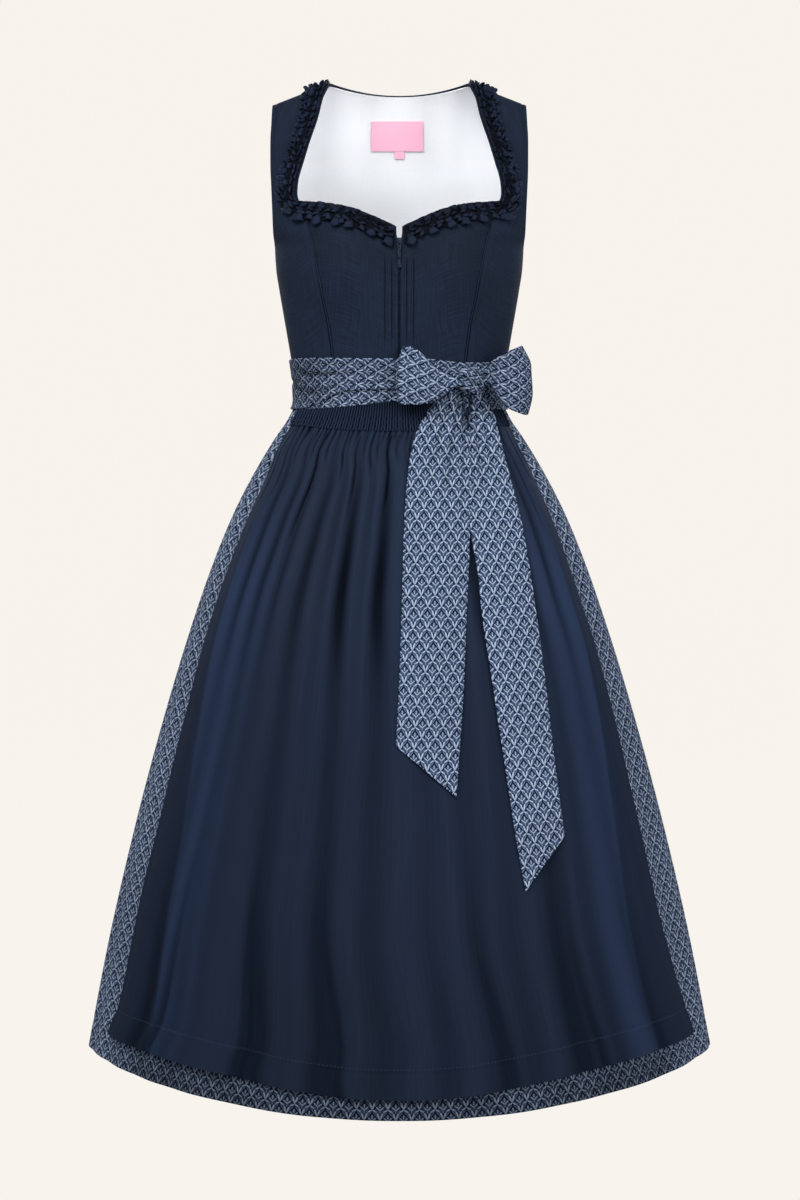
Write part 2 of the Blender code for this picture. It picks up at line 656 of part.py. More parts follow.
def build_pull(finish):
    """Drop-shaped pull with a slot for the arch. Its origin is on the hinge axis."""
    outline = arc((0, PULL_BAR - PULL_EYE), PULL_EYE, 0, 180, 8)
    stem = [(PULL_STEM, -PULL_NECK), (PULL_STEM * 1.1, PULL_KNOB - PULL_LENGTH + 0.0042)]
    outline += [(-x, z) for x, z in stem]
    outline += arc((0, PULL_KNOB - PULL_LENGTH), PULL_EYE, 160, 380, 12)
    outline += stem[::-1]
    slot = [(side * PULL_SLOT, z) for side, z in ((-1, -PULL_BAR), (1, -PULL_BAR),
                                                  (1, -PULL_SLOT_END), (-1, -PULL_SLOT_END))]
    shape = bpy.data.curves.new("zip_pull", "CURVE")
    shape.dimensions = "2D"
    shape.fill_mode = "BOTH"
    shape.extrude = PULL_WALL / 2
    for loop in (outline, slot):
        add_spline(shape, [(x, z, 0) for x, z in loop], cyclic=True)
    form = mesh_of_curve(shape)
    bmesh.ops.transform(form, matrix=Matrix.Rotation(math.radians(90), 4, "X"), verts=form.verts)
    pull = finish_mesh("zip_pull", form, finish, smooth=False)
    pull.location = pivot_point()
    return pull


# Skirt

def hem_drop(angle):
    return HEM_DROP + HEM_DIP * np.exp(-(angle / 22.0) ** 2)


def build_skirt(name, middle, waves, kind, finish):
    """Half of the skirt with its gathers, from one side seam round to the other."""
    shares = np.linspace(0, 1, 4 * waves + 1)
    start = WAIST_DROP + SEAM_GAP / 2
    downs = np.array(SKIRT_DROPS)[:, None]
    whole = middle - 90 + 180 * shares
    drops = start + downs * (hem_drop(whole) - start) / downs[-1]
    depth = np.minimum(SKIRT["front"](drops), SKIRT["back"](drops))
    angles = middle + (shares * 2 - 1) * seam_angle(depth, SKIRT["power_y"](drops))
    points, directions = on_form(skirt_form, angles, drops)
    end_fade = np.clip(np.minimum(shares, 1 - shares) * 12, 0, 1)
    wave = np.cos(2 * np.pi * waves * shares) * end_fade
    return cloth(name, points, directions, SKIRT_WALL, finish, lift=GATHERS[kind](drops) * wave)


# Apron

def band_bottom(angle):
    beyond = np.exp(-np.maximum(np.abs(angle) - 50, 0) / 30)
    return BAND_DROP - BAND_CURVE * (angle / 50.0) ** 2 * beyond


def apron_angle(share, drop):
    left, right = APRON_EDGES["left"](drop), APRON_EDGES["right"](drop)
    return left + (right - left) * share


def apron_relief(share, down):
    """How far the folds sink the apron: troughs that wander a little from top to hem."""
    relief = 0 * share
    for top, middle, low, deep_top, deep_middle, deep_low, width in APRON_FOLDS:
        centre = curve((0, 0.33, 1), (top, middle, low))(down)
        depth = curve((0, 0.12, 0.33, 1), (deep_top * 0.2, deep_top, deep_middle, deep_low))(down)
        relief = np.maximum(relief, depth * np.exp(-((share - centre) / width) ** 2))
    return relief


def build_apron(finish):
    share, down = np.meshgrid(np.linspace(0, 1, APRON_COLUMNS), np.array(APRON_SHARES))
    guess = apron_angle(share, 0.375 + 0.69 * down)
    top = band_bottom(guess) + SEAM_GAP
    bottom = APRON_HEM_DROP + APRON_HEM_DIP * np.exp(-(guess / 20.0) ** 2)
    drop = top + (bottom - top) * down
    points, directions = on_form(skirt_form, apron_angle(share, drop), drop)
    tilt = np.clip(down / 0.14, 0, 1)[..., None]
    directions = unit(level(directions) * (1 - tilt) + directions * tilt)
    return cloth("apron", points, directions, APRON_WALL, finish,
                 lift=APRON_LIFT["lift"](drop) - apron_relief(share, down))


def build_gathers(finish):
    """Smocked band: ridges on the outside of a plain wall."""
    columns = 2 * BAND_RIDGES + 1
    share, down = np.meshgrid(np.linspace(0, 1, columns), np.array([0.0, 0.5, 1.0]))
    angle = apron_angle(share, 0.365)
    top = belt_bottom(angle) + SEAM_GAP
    drop = top + (band_bottom(angle) - top) * down
    points, directions = on_form(skirt_form, angle, drop)
    directions = level(directions)
    inner = points + directions * (BAND_LIFT - BAND_WALL)
    ridge = np.where(np.arange(columns) % 2 == 1, BAND_RISE, 0.0)[:, None]
    return wall("apron_gathers", inner + directions * (BAND_WALL + ridge), inner, finish)


# Belt and bow

def belt_bottom(angle):
    """Lower edge of the belt, a little higher at the centre front."""
    return BELT_SIDE_BOTTOM + (BELT_BOTTOM - BELT_SIDE_BOTTOM) * np.exp(-(angle / 45.0) ** 2)


def belt_surface(angles, bottom):
    """Points and level directions of a belt turn, with a row at each of the bodice's bends."""
    drops = BELT_TOP + (bottom - BELT_TOP) * np.array([0.0, 0.5, 1.0])[:, None]
    points, directions = on_form(bodice_form, angles, drops)
    return points, level(directions)


def build_belt(finish):
    """First turn of the tie, all round the waist."""
    angles = np.arange(-180, 180, 360 / BELT_COLUMNS)
    points, directions = belt_surface(angles, belt_bottom(angles))
    return cloth("belt_under", points, directions, BELT_WALL, finish,
                 lift=BELT_GAP + BELT_WALL, ring=True)


def build_belt_over(finish):
    """Second turn, over the front. Its lower edge climbs towards the knot."""
    step = 360 / BELT_COLUMNS
    angles = np.arange(-12, 8) * step
    climb = curve((-100, -60, -26, -2, 60), (0.3535, 0.3520, 0.3377, 0.3362, 0.3420))
    points, directions = belt_surface(angles, climb(angles))
    return cloth("belt_over", points, directions, BELT_WALL, finish, lift=2 * (BELT_GAP + BELT_WALL))


def build_tail(name, rows, ends, finish):
    edges = curves("left right", rows)
    start = rows[0][0]
    share, down = np.meshgrid(np.linspace(0, 1, 5), TAIL_SHARES)
    drop = start + (ends[0] + (ends[1] - ends[0]) * share - start) * down
    x = edges["left"](drop) + (edges["right"](drop) - edges["left"](drop)) * share
    points, directions = on_form(skirt_form, skirt_angle(x, drop), drop)
    return cloth(name, points, level(directions), TAIL_WALL, finish, lift=TAIL_LIFT["lift"](drop))


def build_loop(name, stations, finish):
    """A ribbon loop: out from the knot, round a soft fold and back behind itself."""
    track = np.array([(x, y) for x, y, _, _ in stations])
    tangent = np.gradient(track, axis=0)
    tangent /= np.linalg.norm(tangent, axis=1, keepdims=True)
    sideways = np.stack([tangent[:, 1], -tangent[:, 0]], -1) * LOOP_WALL / 2
    heights = np.array([(top, bottom) for _, _, top, bottom in stations])
    faces = []
    for sign in (1, -1):
        rows = []
        for share in (0.0, 0.5, 1.0):
            z = heights[:, 0] + (heights[:, 1] - heights[:, 0]) * share
            rows.append(np.column_stack([track + sign * sideways, z]))
        faces.append(np.array(rows))
    return wall(name, faces[0], faces[1], finish)


def build_knot(finish):
    """The tie wrapped tightly over itself: a rounded lump with shallow creases."""
    form = bmesh.new()
    bmesh.ops.create_uvsphere(form, u_segments=16, v_segments=10, radius=1.0)
    for vertex in form.verts:
        boxy = [math.copysign(abs(value) ** 0.75, value) for value in vertex.co]
        crease = 1 - 0.05 * (0.5 + 0.5 * math.cos(9 * boxy[0] + 2 * boxy[2]))
        vertex.co = Vector(boxy) * 0.5 * crease
    size = Matrix.Diagonal((*KNOT_SIZE, 1))
    turn = Matrix.Rotation(math.radians(KNOT_TURN), 4, "Z")
    bmesh.ops.transform(form, matrix=Matrix.Translation(KNOT_CENTRE) @ turn @ size, verts=form.verts)
    return finish_mesh("bow_knot", form, finish)


# Label

def build_patch(name, box, finish):
    """A small flat piece sewn to the lining at the centre back."""
    left, right, top, bottom = box
    x = np.linspace(right, left, 5)
    drop = np.linspace(top, bottom, 3)[:, None]
    points, directions = on_form(bodice_form, 180 - bodice_angle(x, drop), drop)
    depth = BODICE_WALL + SEAM_GAP + LINING_WALL + LABEL_GAP
    return cloth(name, points, directions, LABEL_WALL, finish, lift=-depth)


def main():
    navy = material("bodice navy", (0.0152, 0.0232, 0.0437), 0.85, sheen=0.2)
    white = material("lining white", (0.87, 0.88, 0.90), 0.8)
    printed = material("printed cotton", (0.122, 0.162, 0.235), 0.8)
    satin = material("apron navy", (0.0170, 0.0245, 0.0470), 0.5, sheen=0.3)
    ruffle = material("trim navy", (0.0110, 0.0165, 0.0320), 0.75, sheen=0.2)
    metal = material("zip metal", (0.020, 0.026, 0.045), 0.35, metallic=0.7)
    pink = material("label pink", (0.97, 0.50, 0.65), 0.7)

    for side, word in ((-1, "left"), (1, "right")):
        build_bodice_front(side, "bodice_front_" + word, navy)
        build_bodice_side(side, "bodice_side_" + word, navy)
        build_trim(side, "neck_trim_" + word, ruffle)
    build_back(navy)
    build_lining(white)
    build_zip_tape(navy)
    build_slider(metal)
    build_pull(metal)
    build_skirt("skirt_front", 0.0, FRONT_WAVES, "front", printed)
    build_skirt("skirt_back", 180.0, BACK_WAVES, "back", printed)
    build_apron(satin)
    build_gathers(satin)
    build_belt(printed)
    build_belt_over(printed)
    build_tail("bow_tail_left", LEFT_TAIL_ROWS, LEFT_TAIL_END, printed)
    build_tail("bow_tail_right", RIGHT_TAIL_ROWS, RIGHT_TAIL_END, printed)
    build_loop("bow_loop_left", LEFT_LOOP, printed)
    build_loop("bow_loop_right", RIGHT_LOOP, printed)
    build_knot(printed)
    build_patch("neck_label", LABEL_BOX, pink)
    build_patch("size_tab", TAB_BOX, pink)


for old in list(bpy.data.objects):
    bpy.data.objects.remove(old)
PARTS = bpy.data.collections.new("dirndl")
CUTTERS = bpy.data.collections.new("cutters")
bpy.context.scene.collection.children.link(PARTS)
bpy.context.scene.collection.children.link(CUTTERS)
main()
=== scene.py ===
"""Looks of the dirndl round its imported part: cloth shells, trim, stitches, light and camera.

Metres, +Z up, the front faces -Y. Each cloth piece is a thin shell on one of the two closed
forms that the part's solids follow, the bodice and the skirt. A point on a form is named by its
angle, 0 at the centre front and 90 at the +X side, and by its drop below the shoulder line.
Left and right are the viewer's own: left is -X. Texture coordinates are cloth metres.
"""
import math

import bpy
import numpy as np
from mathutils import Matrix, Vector


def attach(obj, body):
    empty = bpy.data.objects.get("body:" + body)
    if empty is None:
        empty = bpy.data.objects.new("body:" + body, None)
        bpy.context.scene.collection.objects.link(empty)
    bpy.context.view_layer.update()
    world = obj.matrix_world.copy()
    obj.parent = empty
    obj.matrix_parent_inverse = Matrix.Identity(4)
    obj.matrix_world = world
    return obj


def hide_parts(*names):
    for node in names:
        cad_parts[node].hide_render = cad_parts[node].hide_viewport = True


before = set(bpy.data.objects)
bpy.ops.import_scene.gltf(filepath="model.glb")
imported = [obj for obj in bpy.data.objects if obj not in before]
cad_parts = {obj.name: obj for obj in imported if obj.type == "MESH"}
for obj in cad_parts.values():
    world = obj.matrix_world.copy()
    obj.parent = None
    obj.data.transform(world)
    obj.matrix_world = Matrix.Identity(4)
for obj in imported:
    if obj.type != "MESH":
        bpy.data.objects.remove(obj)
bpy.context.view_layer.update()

# Sizes repeated from the part's source
WAIST_DROP = 0.357
HEM_DROP, HEM_DIP = 1.087, 0.008
SEAM_GAP = 0.0003
BODICE_WALL, SKIRT_WALL, LINING_WALL = 0.0016, 0.0014, 0.0010
NECK_HALF = 0.0765
BACK_NECK_DROP, BACK_NECK_DEPTH = 0.0096, 0.036
SHOULDER_SLOPE, SHOULDER_FADE = 0.385, 0.120
BUST_X, BUST_DROP, BUST_RISE = 0.070, 0.200, 0.014
BODICE_POWER_X, BODICE_POWER_Y = 0.91, 0.95
# The bodice: drop, half width, angle of the armhole's edge, depth in front and behind
BODICE_ROWS = (
    (0.0000, 0.1405, 62.0, 0.0004, 0.0004), (0.0008, 0.1405, 62.0, 0.0080, 0.0080),
    (0.0040, 0.1406, 62.0, 0.0165, 0.0165), (0.0120, 0.1408, 62.0, 0.0270, 0.0280),
    (0.0280, 0.1412, 62.0, 0.0380, 0.0430), (0.0550, 0.1421, 62.0, 0.0540, 0.0600),
    (0.0900, 0.1416, 62.0, 0.0770, 0.0760), (0.1250, 0.1402, 62.5, 0.0990, 0.0860),
    (0.1500, 0.1392, 66.0, 0.1130, 0.0915), (0.1700, 0.1387, 74.0, 0.1190, 0.0940),
    (0.1850, 0.1383, 90.0, 0.1212, 0.0955), (0.2060, 0.1372, 90.0, 0.1220, 0.0960),
    (0.2280, 0.1340, 90.0, 0.1190, 0.0955), (0.2510, 0.1301, 90.0, 0.1135, 0.0935),
    (0.2730, 0.1263, 90.0, 0.1075, 0.0910), (0.3050, 0.1210, 90.0, 0.0985, 0.0870),
    (0.3300, 0.1178, 90.0, 0.0925, 0.0835), (0.3570, 0.1165, 90.0, 0.0890, 0.0815),
)
# The skirt: drop, half width, depth in front and behind, and the powers that shape its oval
SKIRT_ROWS = (
    (0.357, 0.1170, 0.0895, 0.0820, 0.910, 0.95), (0.372, 0.1245, 0.0975, 0.0930, 0.905, 0.97),
    (0.395, 0.1400, 0.1120, 0.1110, 0.900, 1.00), (0.430, 0.1605, 0.1310, 0.1320, 0.890, 1.06),
    (0.480, 0.1860, 0.1530, 0.1540, 0.880, 1.14), (0.540, 0.2108, 0.1740, 0.1740, 0.870, 1.22),
    (0.620, 0.2385, 0.1975, 0.1950, 0.860, 1.32), (0.720, 0.2690, 0.2215, 0.2160, 0.850, 1.42),
    (0.840, 0.3015, 0.2470, 0.2370, 0.840, 1.50), (0.960, 0.3300, 0.2690, 0.2540, 0.835, 1.56),
    (1.090, 0.3560, 0.2880, 0.2680, 0.833, 1.60),
)
# The neckline: share of the way from shoulder to zip, x, drop, lean of the trim in degrees
NECKLINE_ROWS = (
    (0.000, 0.0765, 0.0000, 0.0), (0.073, 0.0800, 0.0067, 0.0), (0.106, 0.0842, 0.0155, -2.0),
    (0.182, 0.0885, 0.0340, -6.0), (0.310, 0.0985, 0.0655, -12.0), (0.400, 0.1050, 0.0887, -12.0),
    (0.491, 0.1108, 0.1125, -6.0), (0.536, 0.1116, 0.1243, 8.0), (0.573, 0.1086, 0.1333, 40.0),
    (0.610, 0.0990, 0.1347, 68.0), (0.682, 0.0840, 0.1362, 78.0), (0.774, 0.0617, 0.1399, 74.0),
    (0.828, 0.0484, 0.1433, 72.0), (0.894, 0.0308, 0.1499, 76.0), (0.949, 0.0176, 0.1556, 81.0),
    (1.000, 0.0046, 0.1615, 88.0),
)
NECK_CORNER = 0.573
CORNER_DROP = 0.1333
ZIP_EDGE_X = 0.0013
TUCK_X = (0.0078, 0.0153)
TUCK_RISE = 0.0011
ZIP_PARTING = 0.0019
TUCK_START, TUCK_END = (0.033, 0.044), (0.270, 0.303)
# The princess seam: drop, x
PRINCESS_ROWS = (
    (0.1333, 0.1086), (0.1610, 0.0990), (0.2000, 0.0905), (0.2406, 0.0834),
    (0.2730, 0.0771), (0.3044, 0.0735), (0.3570, 0.0690),
)
TAPE_WIDTH, TRIM_WAVES, TRIM_GAP = 0.0195, 27, 0.0005
# The skirt's gathers: drop, height in front and behind
GATHER_ROWS = (
    (0.357, 0.0004, 0.0006), (0.395, 0.0010, 0.0028), (0.480, 0.0010, 0.0050),
    (0.700, 0.0010, 0.0065), (1.090, 0.0012, 0.0085),
)
FRONT_WAVES, BACK_WAVES = 12, 16
# The apron's side edges: drop, angle at the left and the right
APRON_EDGE_ROWS = (
    (0.357, -67.5, 70.0), (0.378, -65.0, 67.0), (0.400, -64.0, 63.0), (0.425, -60.0, 61.0),
    (0.450, -58.3, 59.5), (0.500, -58.7, 59.0), (0.560, -59.7, 59.0), (0.620, -60.0, 60.0),
    (0.700, -59.2, 59.5), (0.800, -59.2, 58.8), (0.900, -60.2, 58.9), (0.980, -60.2, 61.2),
    (1.015, -60.8, 63.0), (1.053, -64.2, 66.0),
)
APRON_WALL, APRON_HEM_DROP, APRON_HEM_DIP = 0.0012, 1.0560, 0.0170
APRON_LIFT_ROWS = ((0.357, 0.0040), (0.385, 0.0048), (0.420, 0.0070), (0.470, 0.0085), (1.090, 0.0095))
# The apron's broad folds: share across at the top, middle and hem, depth at the same places, half width
APRON_FOLDS = (
    (0.115, 0.110, 0.095, 0.0022, 0.0030, 0.0040, 0.016),
    (0.185, 0.170, 0.165, 0.0024, 0.0028, 0.0030, 0.015),
    (0.240, 0.222, 0.205, 0.0020, 0.0024, 0.0020, 0.014),
    (0.300, 0.290, 0.320, 0.0026, 0.0034, 0.0058, 0.018),
    (0.345, 0.345, 0.365, 0.0018, 0.0016, 0.0020, 0.014),
    (0.385, 0.392, 0.416, 0.0030, 0.0050, 0.0056, 0.016),
    (0.432, 0.430, 0.445, 0.0016, 0.0014, 0.0018, 0.012),
    (0.470, 0.468, 0.480, 0.0030, 0.0050, 0.0036, 0.015),
    (0.520, 0.530, 0.538, 0.0024, 0.0030, 0.0034, 0.014),
    (0.590, 0.595, 0.600, 0.0026, 0.0034, 0.0036, 0.016),
    (0.655, 0.660, 0.645, 0.0026, 0.0028, 0.0032, 0.016),
    (0.730, 0.742, 0.722, 0.0026, 0.0050, 0.0054, 0.018),
    (0.805, 0.812, 0.790, 0.0024, 0.0030, 0.0036, 0.016),
    (0.880, 0.885, 0.880, 0.0022, 0.0028, 0.0036, 0.016),
    (0.180, 0.172, 0.130, 0.0002, 0.0015, 0.0056, 0.009),
    (0.290, 0.286, 0.303, 0.0002, 0.0010, 0.0078, 0.007),
    (0.400, 0.393, 0.432, 0.0002, 0.0010, 0.0064, 0.008),
    (0.570, 0.572, 0.612, 0.0002, 0.0012, 0.0058, 0.009),
    (0.735, 0.745, 0.757, 0.0002, 0.0012, 0.0052, 0.009),
)
BAND_RIDGES, BAND_RISE, BAND_WALL, BAND_LIFT = 80, 0.0014, 0.0010, 0.0036
BAND_DROP, BAND_CURVE = 0.3818, 0.0046
BELT_TOP = 0.3040
BELT_WALL, BELT_GAP = 0.0014, 0.0007
BELT_STEP = 360 / 44         # degrees from one station of the belt's solids to the next
# The tie's hanging ends: drop, x of the left and the right edge
LEFT_TAIL_ROWS = (
    (0.338, 0.0560, 0.0700), (0.345, 0.0460, 0.0712), (0.355, 0.0350, 0.0728), (0.368, 0.0264, 0.0742),
    (0.388, 0.0172, 0.0752), (0.414, 0.0113, 0.0758), (0.461, 0.0066, 0.0758), (0.508, 0.0047, 0.0748),
    (0.571, 0.0028, 0.0716), (0.645, 0.0001, 0.0684), (0.708, -0.0032, 0.0640), (0.762, -0.0050, 0.0601),
)
RIGHT_TAIL_ROWS = (
    (0.338, 0.0800, 0.0915), (0.355, 0.0785, 0.1005), (0.368, 0.0775, 0.1056), (0.391, 0.0756, 0.1107),
    (0.434, 0.0755, 0.1213), (0.479, 0.0766, 0.1324), (0.535, 0.0852, 0.1418), (0.572, 0.0885, 0.1470),
    (0.630, 0.0972, 0.1545), (0.736, 0.1132, 0.1669), (0.809, 0.1242, 0.1764), (0.861, 0.1336, 0.1830),
)
TAIL_WALL = 0.0016
TAIL_LIFT_ROWS = ((0.338, 0.0081), (0.370, 0.0086), (0.410, 0.0112), (0.450, 0.0122), (0.900, 0.0122))
LEFT_TAIL_END, RIGHT_TAIL_END = (0.7083, 0.7612), (0.8611, 0.8090)
KNOT_CENTRE, KNOT_SIZE, KNOT_TURN = (0.0784, -0.0907, -0.3282), (0.030, 0.021, 0.034), 32.0
# The bow's loops, from the knot round and back: x, y, height of the upper and the lower edge
LEFT_LOOP = (
    (0.0710, -0.0985, -0.3215, -0.3325), (0.0631, -0.1023, -0.3185, -0.3330),
    (0.0480, -0.1080, -0.3130, -0.3430), (0.0330, -0.1150, -0.3060, -0.3510),
    (0.0170, -0.1190, -0.2950, -0.3526), (0.0040, -0.1190, -0.2905, -0.3526),
    (-0.0016, -0.1140, -0.2910, -0.3520), (0.0040, -0.1090, -0.2915, -0.3515),
    (0.0180, -0.1075, -0.2960, -0.3510), (0.0340, -0.1050, -0.3070, -0.3490),
    (0.0480, -0.1010, -0.3140, -0.3430), (0.0619, -0.0974, -0.3200, -0.3340),
    (0.0690, -0.0945, -0.3215, -0.3330),
)
RIGHT_LOOP = (
    (0.0880, -0.0885, -0.3170, -0.3300), (0.0959, -0.0869, -0.3110, -0.3300),
    (0.1070, -0.0925, -0.3030, -0.3430), (0.1170, -0.0940, -0.2970, -0.3560),
    (0.1300, -0.0890, -0.2925, -0.3620), (0.1400, -0.0780, -0.2905, -0.3650),
    (0.1432, -0.0690, -0.2900, -0.3650), (0.1400, -0.0640, -0.2930, -0.3620),
    (0.1290, -0.0660, -0.2960, -0.3580), (0.1170, -0.0730, -0.3000, -0.3500),
    (0.1075, -0.0790, -0.3050, -0.3420), (0.0945, -0.0824, -0.3120, -0.3310),
    (0.0880, -0.0850, -0.3160, -0.3310),
)
LOOP_WALL = 0.0016
LABEL_BOX, TAB_BOX = (-0.0325, 0.0280, 0.0370, 0.0695), (-0.0057, 0.0058, 0.0699, 0.0780)
LABEL_WALL, LABEL_GAP = 0.0006, 0.0013


# The two closed forms, as the part's source has them

def clamped(share):
    return np.clip(share, 0, 1)


def curve(places, values):
    """A smooth curve through the given values that never overshoots them."""
    places, values = np.array(places, float), np.array(values, float)
    steps = np.diff(places)
    slopes = np.diff(values) / steps
    tangents = np.zeros(len(places))
    tangents[0], tangents[-1] = slopes[0], slopes[-1]
    for i in range(1, len(places) - 1):
        if slopes[i - 1] * slopes[i] > 0:
            before = 2 * steps[i] + steps[i - 1]
            after = steps[i] + 2 * steps[i - 1]
            tangents[i] = (before + after) / (before / slopes[i - 1] + after / slopes[i])

    def read(place):
        place = np.clip(np.asarray(place, float), places[0], places[-1])
        i = np.clip(np.searchsorted(places, place, side="right") - 1, 0, len(places) - 2)
        t = (place - places[i]) / steps[i]
        start = values[i] * (1 + 2 * t) * (1 - t) ** 2 + steps[i] * tangents[i] * t * (1 - t) ** 2
        end = values[i + 1] * t * t * (3 - 2 * t) + steps[i] * tangents[i + 1] * t * t * (t - 1)
        return start + end
    return read


def curves(names, rows):
    """One curve of the first column for each of the other columns, by name."""
    columns = list(zip(*rows))
    return {name: curve(columns[0], column) for name, column in zip(names.split(), columns[1:])}


BODICE = curves("side edge front back", BODICE_ROWS)
SKIRT = curves("side front back power_x power_y", SKIRT_ROWS)
NECKLINE = curves("x drop lean", NECKLINE_ROWS)
PRINCESS = curve(*zip(*PRINCESS_ROWS))
GATHERS = curves("front back", GATHER_ROWS)
APRON_EDGES = curves("left right", APRON_EDGE_ROWS)
APRON_LIFT = curve(*zip(*APRON_LIFT_ROWS))
TAIL_LIFT = curve(*zip(*TAIL_LIFT_ROWS))


def shoulder_height(x, drop):
    fade = clamped(1 - drop / SHOULDER_FADE) ** 1.5
    return -drop - SHOULDER_SLOPE * np.maximum(np.abs(x) - NECK_HALF, 0) * fade


def bodice_form(angle, drop):
    """Outer face of the bodice."""
    turn = np.radians(angle)
    sine, cosine = np.sin(turn), np.cos(turn)
    edge = np.sin(np.radians(BODICE["edge"](drop)))
    x = BODICE["side"](drop) * np.sign(sine) * (np.abs(sine) / edge) ** BODICE_POWER_X
    depth = np.abs(cosine) ** BODICE_POWER_Y
    bust = np.exp(-((np.abs(x) - BUST_X) / 0.036) ** 2 - ((drop - BUST_DROP) / 0.050) ** 2)
    front = -BODICE["front"](drop) * depth - BUST_RISE * bust * clamped(3 * cosine)
    nape = clamped(1 - (x / NECK_HALF) ** 2) ** 2 * np.exp(-np.maximum(drop - 0.006, 0) / 0.035)
    back = BODICE["back"](drop) * depth + BACK_NECK_DEPTH * nape
    return np.stack([x, np.where(cosine >= 0, front, back), shoulder_height(x, drop)], -1)


def bodice_angle(x, drop):
    """Angle at which the front of the bodice reaches the given x."""
    edge = np.sin(np.radians(BODICE["edge"](drop)))
    share = clamped(np.abs(x) / BODICE["side"](drop)) ** (1 / BODICE_POWER_X)
    return np.degrees(np.arcsin(clamped(share * edge))) * np.sign(x)


def skirt_form(angle, drop):
    """Mean outer face of the skirt, without its gathers."""
    turn = np.radians(angle)
    sine, cosine = np.sin(turn), np.cos(turn)
    x = SKIRT["side"](drop) * np.sign(sine) * np.abs(sine) ** SKIRT["power_x"](drop)
    depth = np.where(cosine >= 0, -SKIRT["front"](drop), SKIRT["back"](drop))
    y = depth * np.abs(cosine) ** SKIRT["power_y"](drop)
    return np.stack([x, y, -np.asarray(drop) + 0 * x], -1)


def skirt_angle(x, drop):
    """Angle at which the front of the skirt reaches the given x."""
    share = clamped(np.abs(x) / SKIRT["side"](drop)) ** (1 / SKIRT["power_x"](drop))
    return np.degrees(np.arcsin(share)) * np.sign(x)


def seam_angle(depth, power):
    """Angle of a panel's edge at the side seam, half a seam gap before the middle."""
    return np.degrees(np.arccos((SEAM_GAP / 2 / depth) ** (1 / power)))


def bodice_reach(drop):
    """Angle at which a bodice panel ends: the armhole's edge or, below it, the side seam."""
    edge = BODICE["edge"](drop)
    seam = seam_angle(BODICE["back"](drop), BODICE_POWER_Y)
    return np.where(edge > 89.0, seam, edge)


def unit(vectors):
    return vectors / np.maximum(np.linalg.norm(vectors, axis=-1, keepdims=True), 1e-12)


def level(directions):
    """The same directions, laid flat, for what hangs from the edge of the waist."""
    return unit(directions * np.array([1.0, 1.0, 0.0]))


def on_form(form, angle, drop):
    """Points of a form and the outward directions there."""
    angle, drop = np.broadcast_arrays(angle, drop)
    around = form(angle + 0.2, drop) - form(angle - 0.2, drop)
    down = form(angle, drop + 0.0004) - form(angle, drop - 0.0004)
    return form(angle, drop), unit(np.cross(down, around))


SHARP_SHELL, SHARP_PETAL = 60, 88       # degrees beyond which an edge is shaded sharp


def raised(points, directions, height):
    """Points moved outwards by a height of their own."""
    return points + directions * height[..., None]


# Shells and their cloth coordinates

def running(points, axis):
    """Running length along one axis of a grid of points."""
    steps = np.linalg.norm(np.diff(points, axis=axis), axis=-1)
    zero = np.zeros_like(np.take(steps, [0], axis))
    return np.concatenate([zero, np.cumsum(steps, axis)], axis)


def from_last(lengths):
    """The same lengths, counted from the last column."""
    return lengths[:, -1:] - lengths


def read_line(place, lengths, line):
    """Points of a line at places along it."""
    return np.stack([np.interp(place, lengths, line[:, axis]) for axis in range(3)], -1)


def cloth_metres(points):
    """Texture coordinates: metres across from the first column, metres down from the first row."""
    return np.stack([running(points, 1), -running(points, 0)], -1)


def bump_at(place, centre, half):
    """A soft bump of height 1."""
    return np.exp(-((place - centre) / half) ** 2)


def ramp(place, start, end):
    """Smooth step from 0 at the start to 1 at the end."""
    t = clamped((place - start) / (end - start))
    return t * t * (3 - 2 * t)


def packed(*stretches):
    """Places from 0 to 1 in stretches of different closeness: (start, end, count) each."""
    parts = [np.linspace(start, end, count, endpoint=False) for start, end, count in stretches]
    return np.concatenate(parts + [[stretches[-1][1]]])


def grid_faces(rows, columns, ring=False):
    """Quads between the points of a grid, and the row and column of the first corner of each."""
    steps = columns if ring else columns - 1
    row, column = (place.ravel() for place in np.mgrid[:rows - 1, :steps])
    here, after = row * columns + column, row * columns + (column + 1) % columns
    return np.stack([here, after, after + columns, here + columns], -1), row, column


def border_loops(rows, columns, ring=False):
    """Closed loops of grid places round the edge, in the outer faces' turning sense."""
    top = [(0, column) for column in range(columns)]
    if ring:
        return [top, [(rows - 1, column) for column in range(columns - 1, -1, -1)]]
    right = [(row, columns - 1) for row in range(1, rows)]
    bottom = [(rows - 1, column) for column in range(columns - 2, -1, -1)]
    left = [(row, 0) for row in range(rows - 2, 0, -1)]
    return [top + right + bottom + left]


def flat_array(values, kind=np.float32):
    return np.ascontiguousarray(values, kind).ravel()


def new_mesh(name, points, faces, corner_uv=None, material_index=None, tone=None):
    """A mesh of quads or triangles from arrays. The tone is painted shade and painted sheen for each point.
    """
    mesh = bpy.data.meshes.new(name)
    mesh.vertices.add(len(points))
    mesh.vertices.foreach_set("co", flat_array(points))
    mesh.loops.add(faces.size)
    mesh.loops.foreach_set("vertex_index", flat_array(faces, np.int32))
    mesh.polygons.add(len(faces))
    mesh.polygons.foreach_set("loop_start", np.arange(0, faces.size, faces.shape[1], dtype=np.int32))
    if material_index is not None:
        mesh.polygons.foreach_set("material_index", flat_array(material_index, np.int32))
    mesh.update(calc_edges=True)
    if corner_uv is not None:
        mesh.uv_layers.new(name="cloth").uv.foreach_set("vector", flat_array(corner_uv))
    if tone is not None:
        mesh.attributes.new("tone", "FLOAT_VECTOR", "POINT").data.foreach_set("vector", flat_array(tone))
    mesh.shade_smooth()
    return mesh


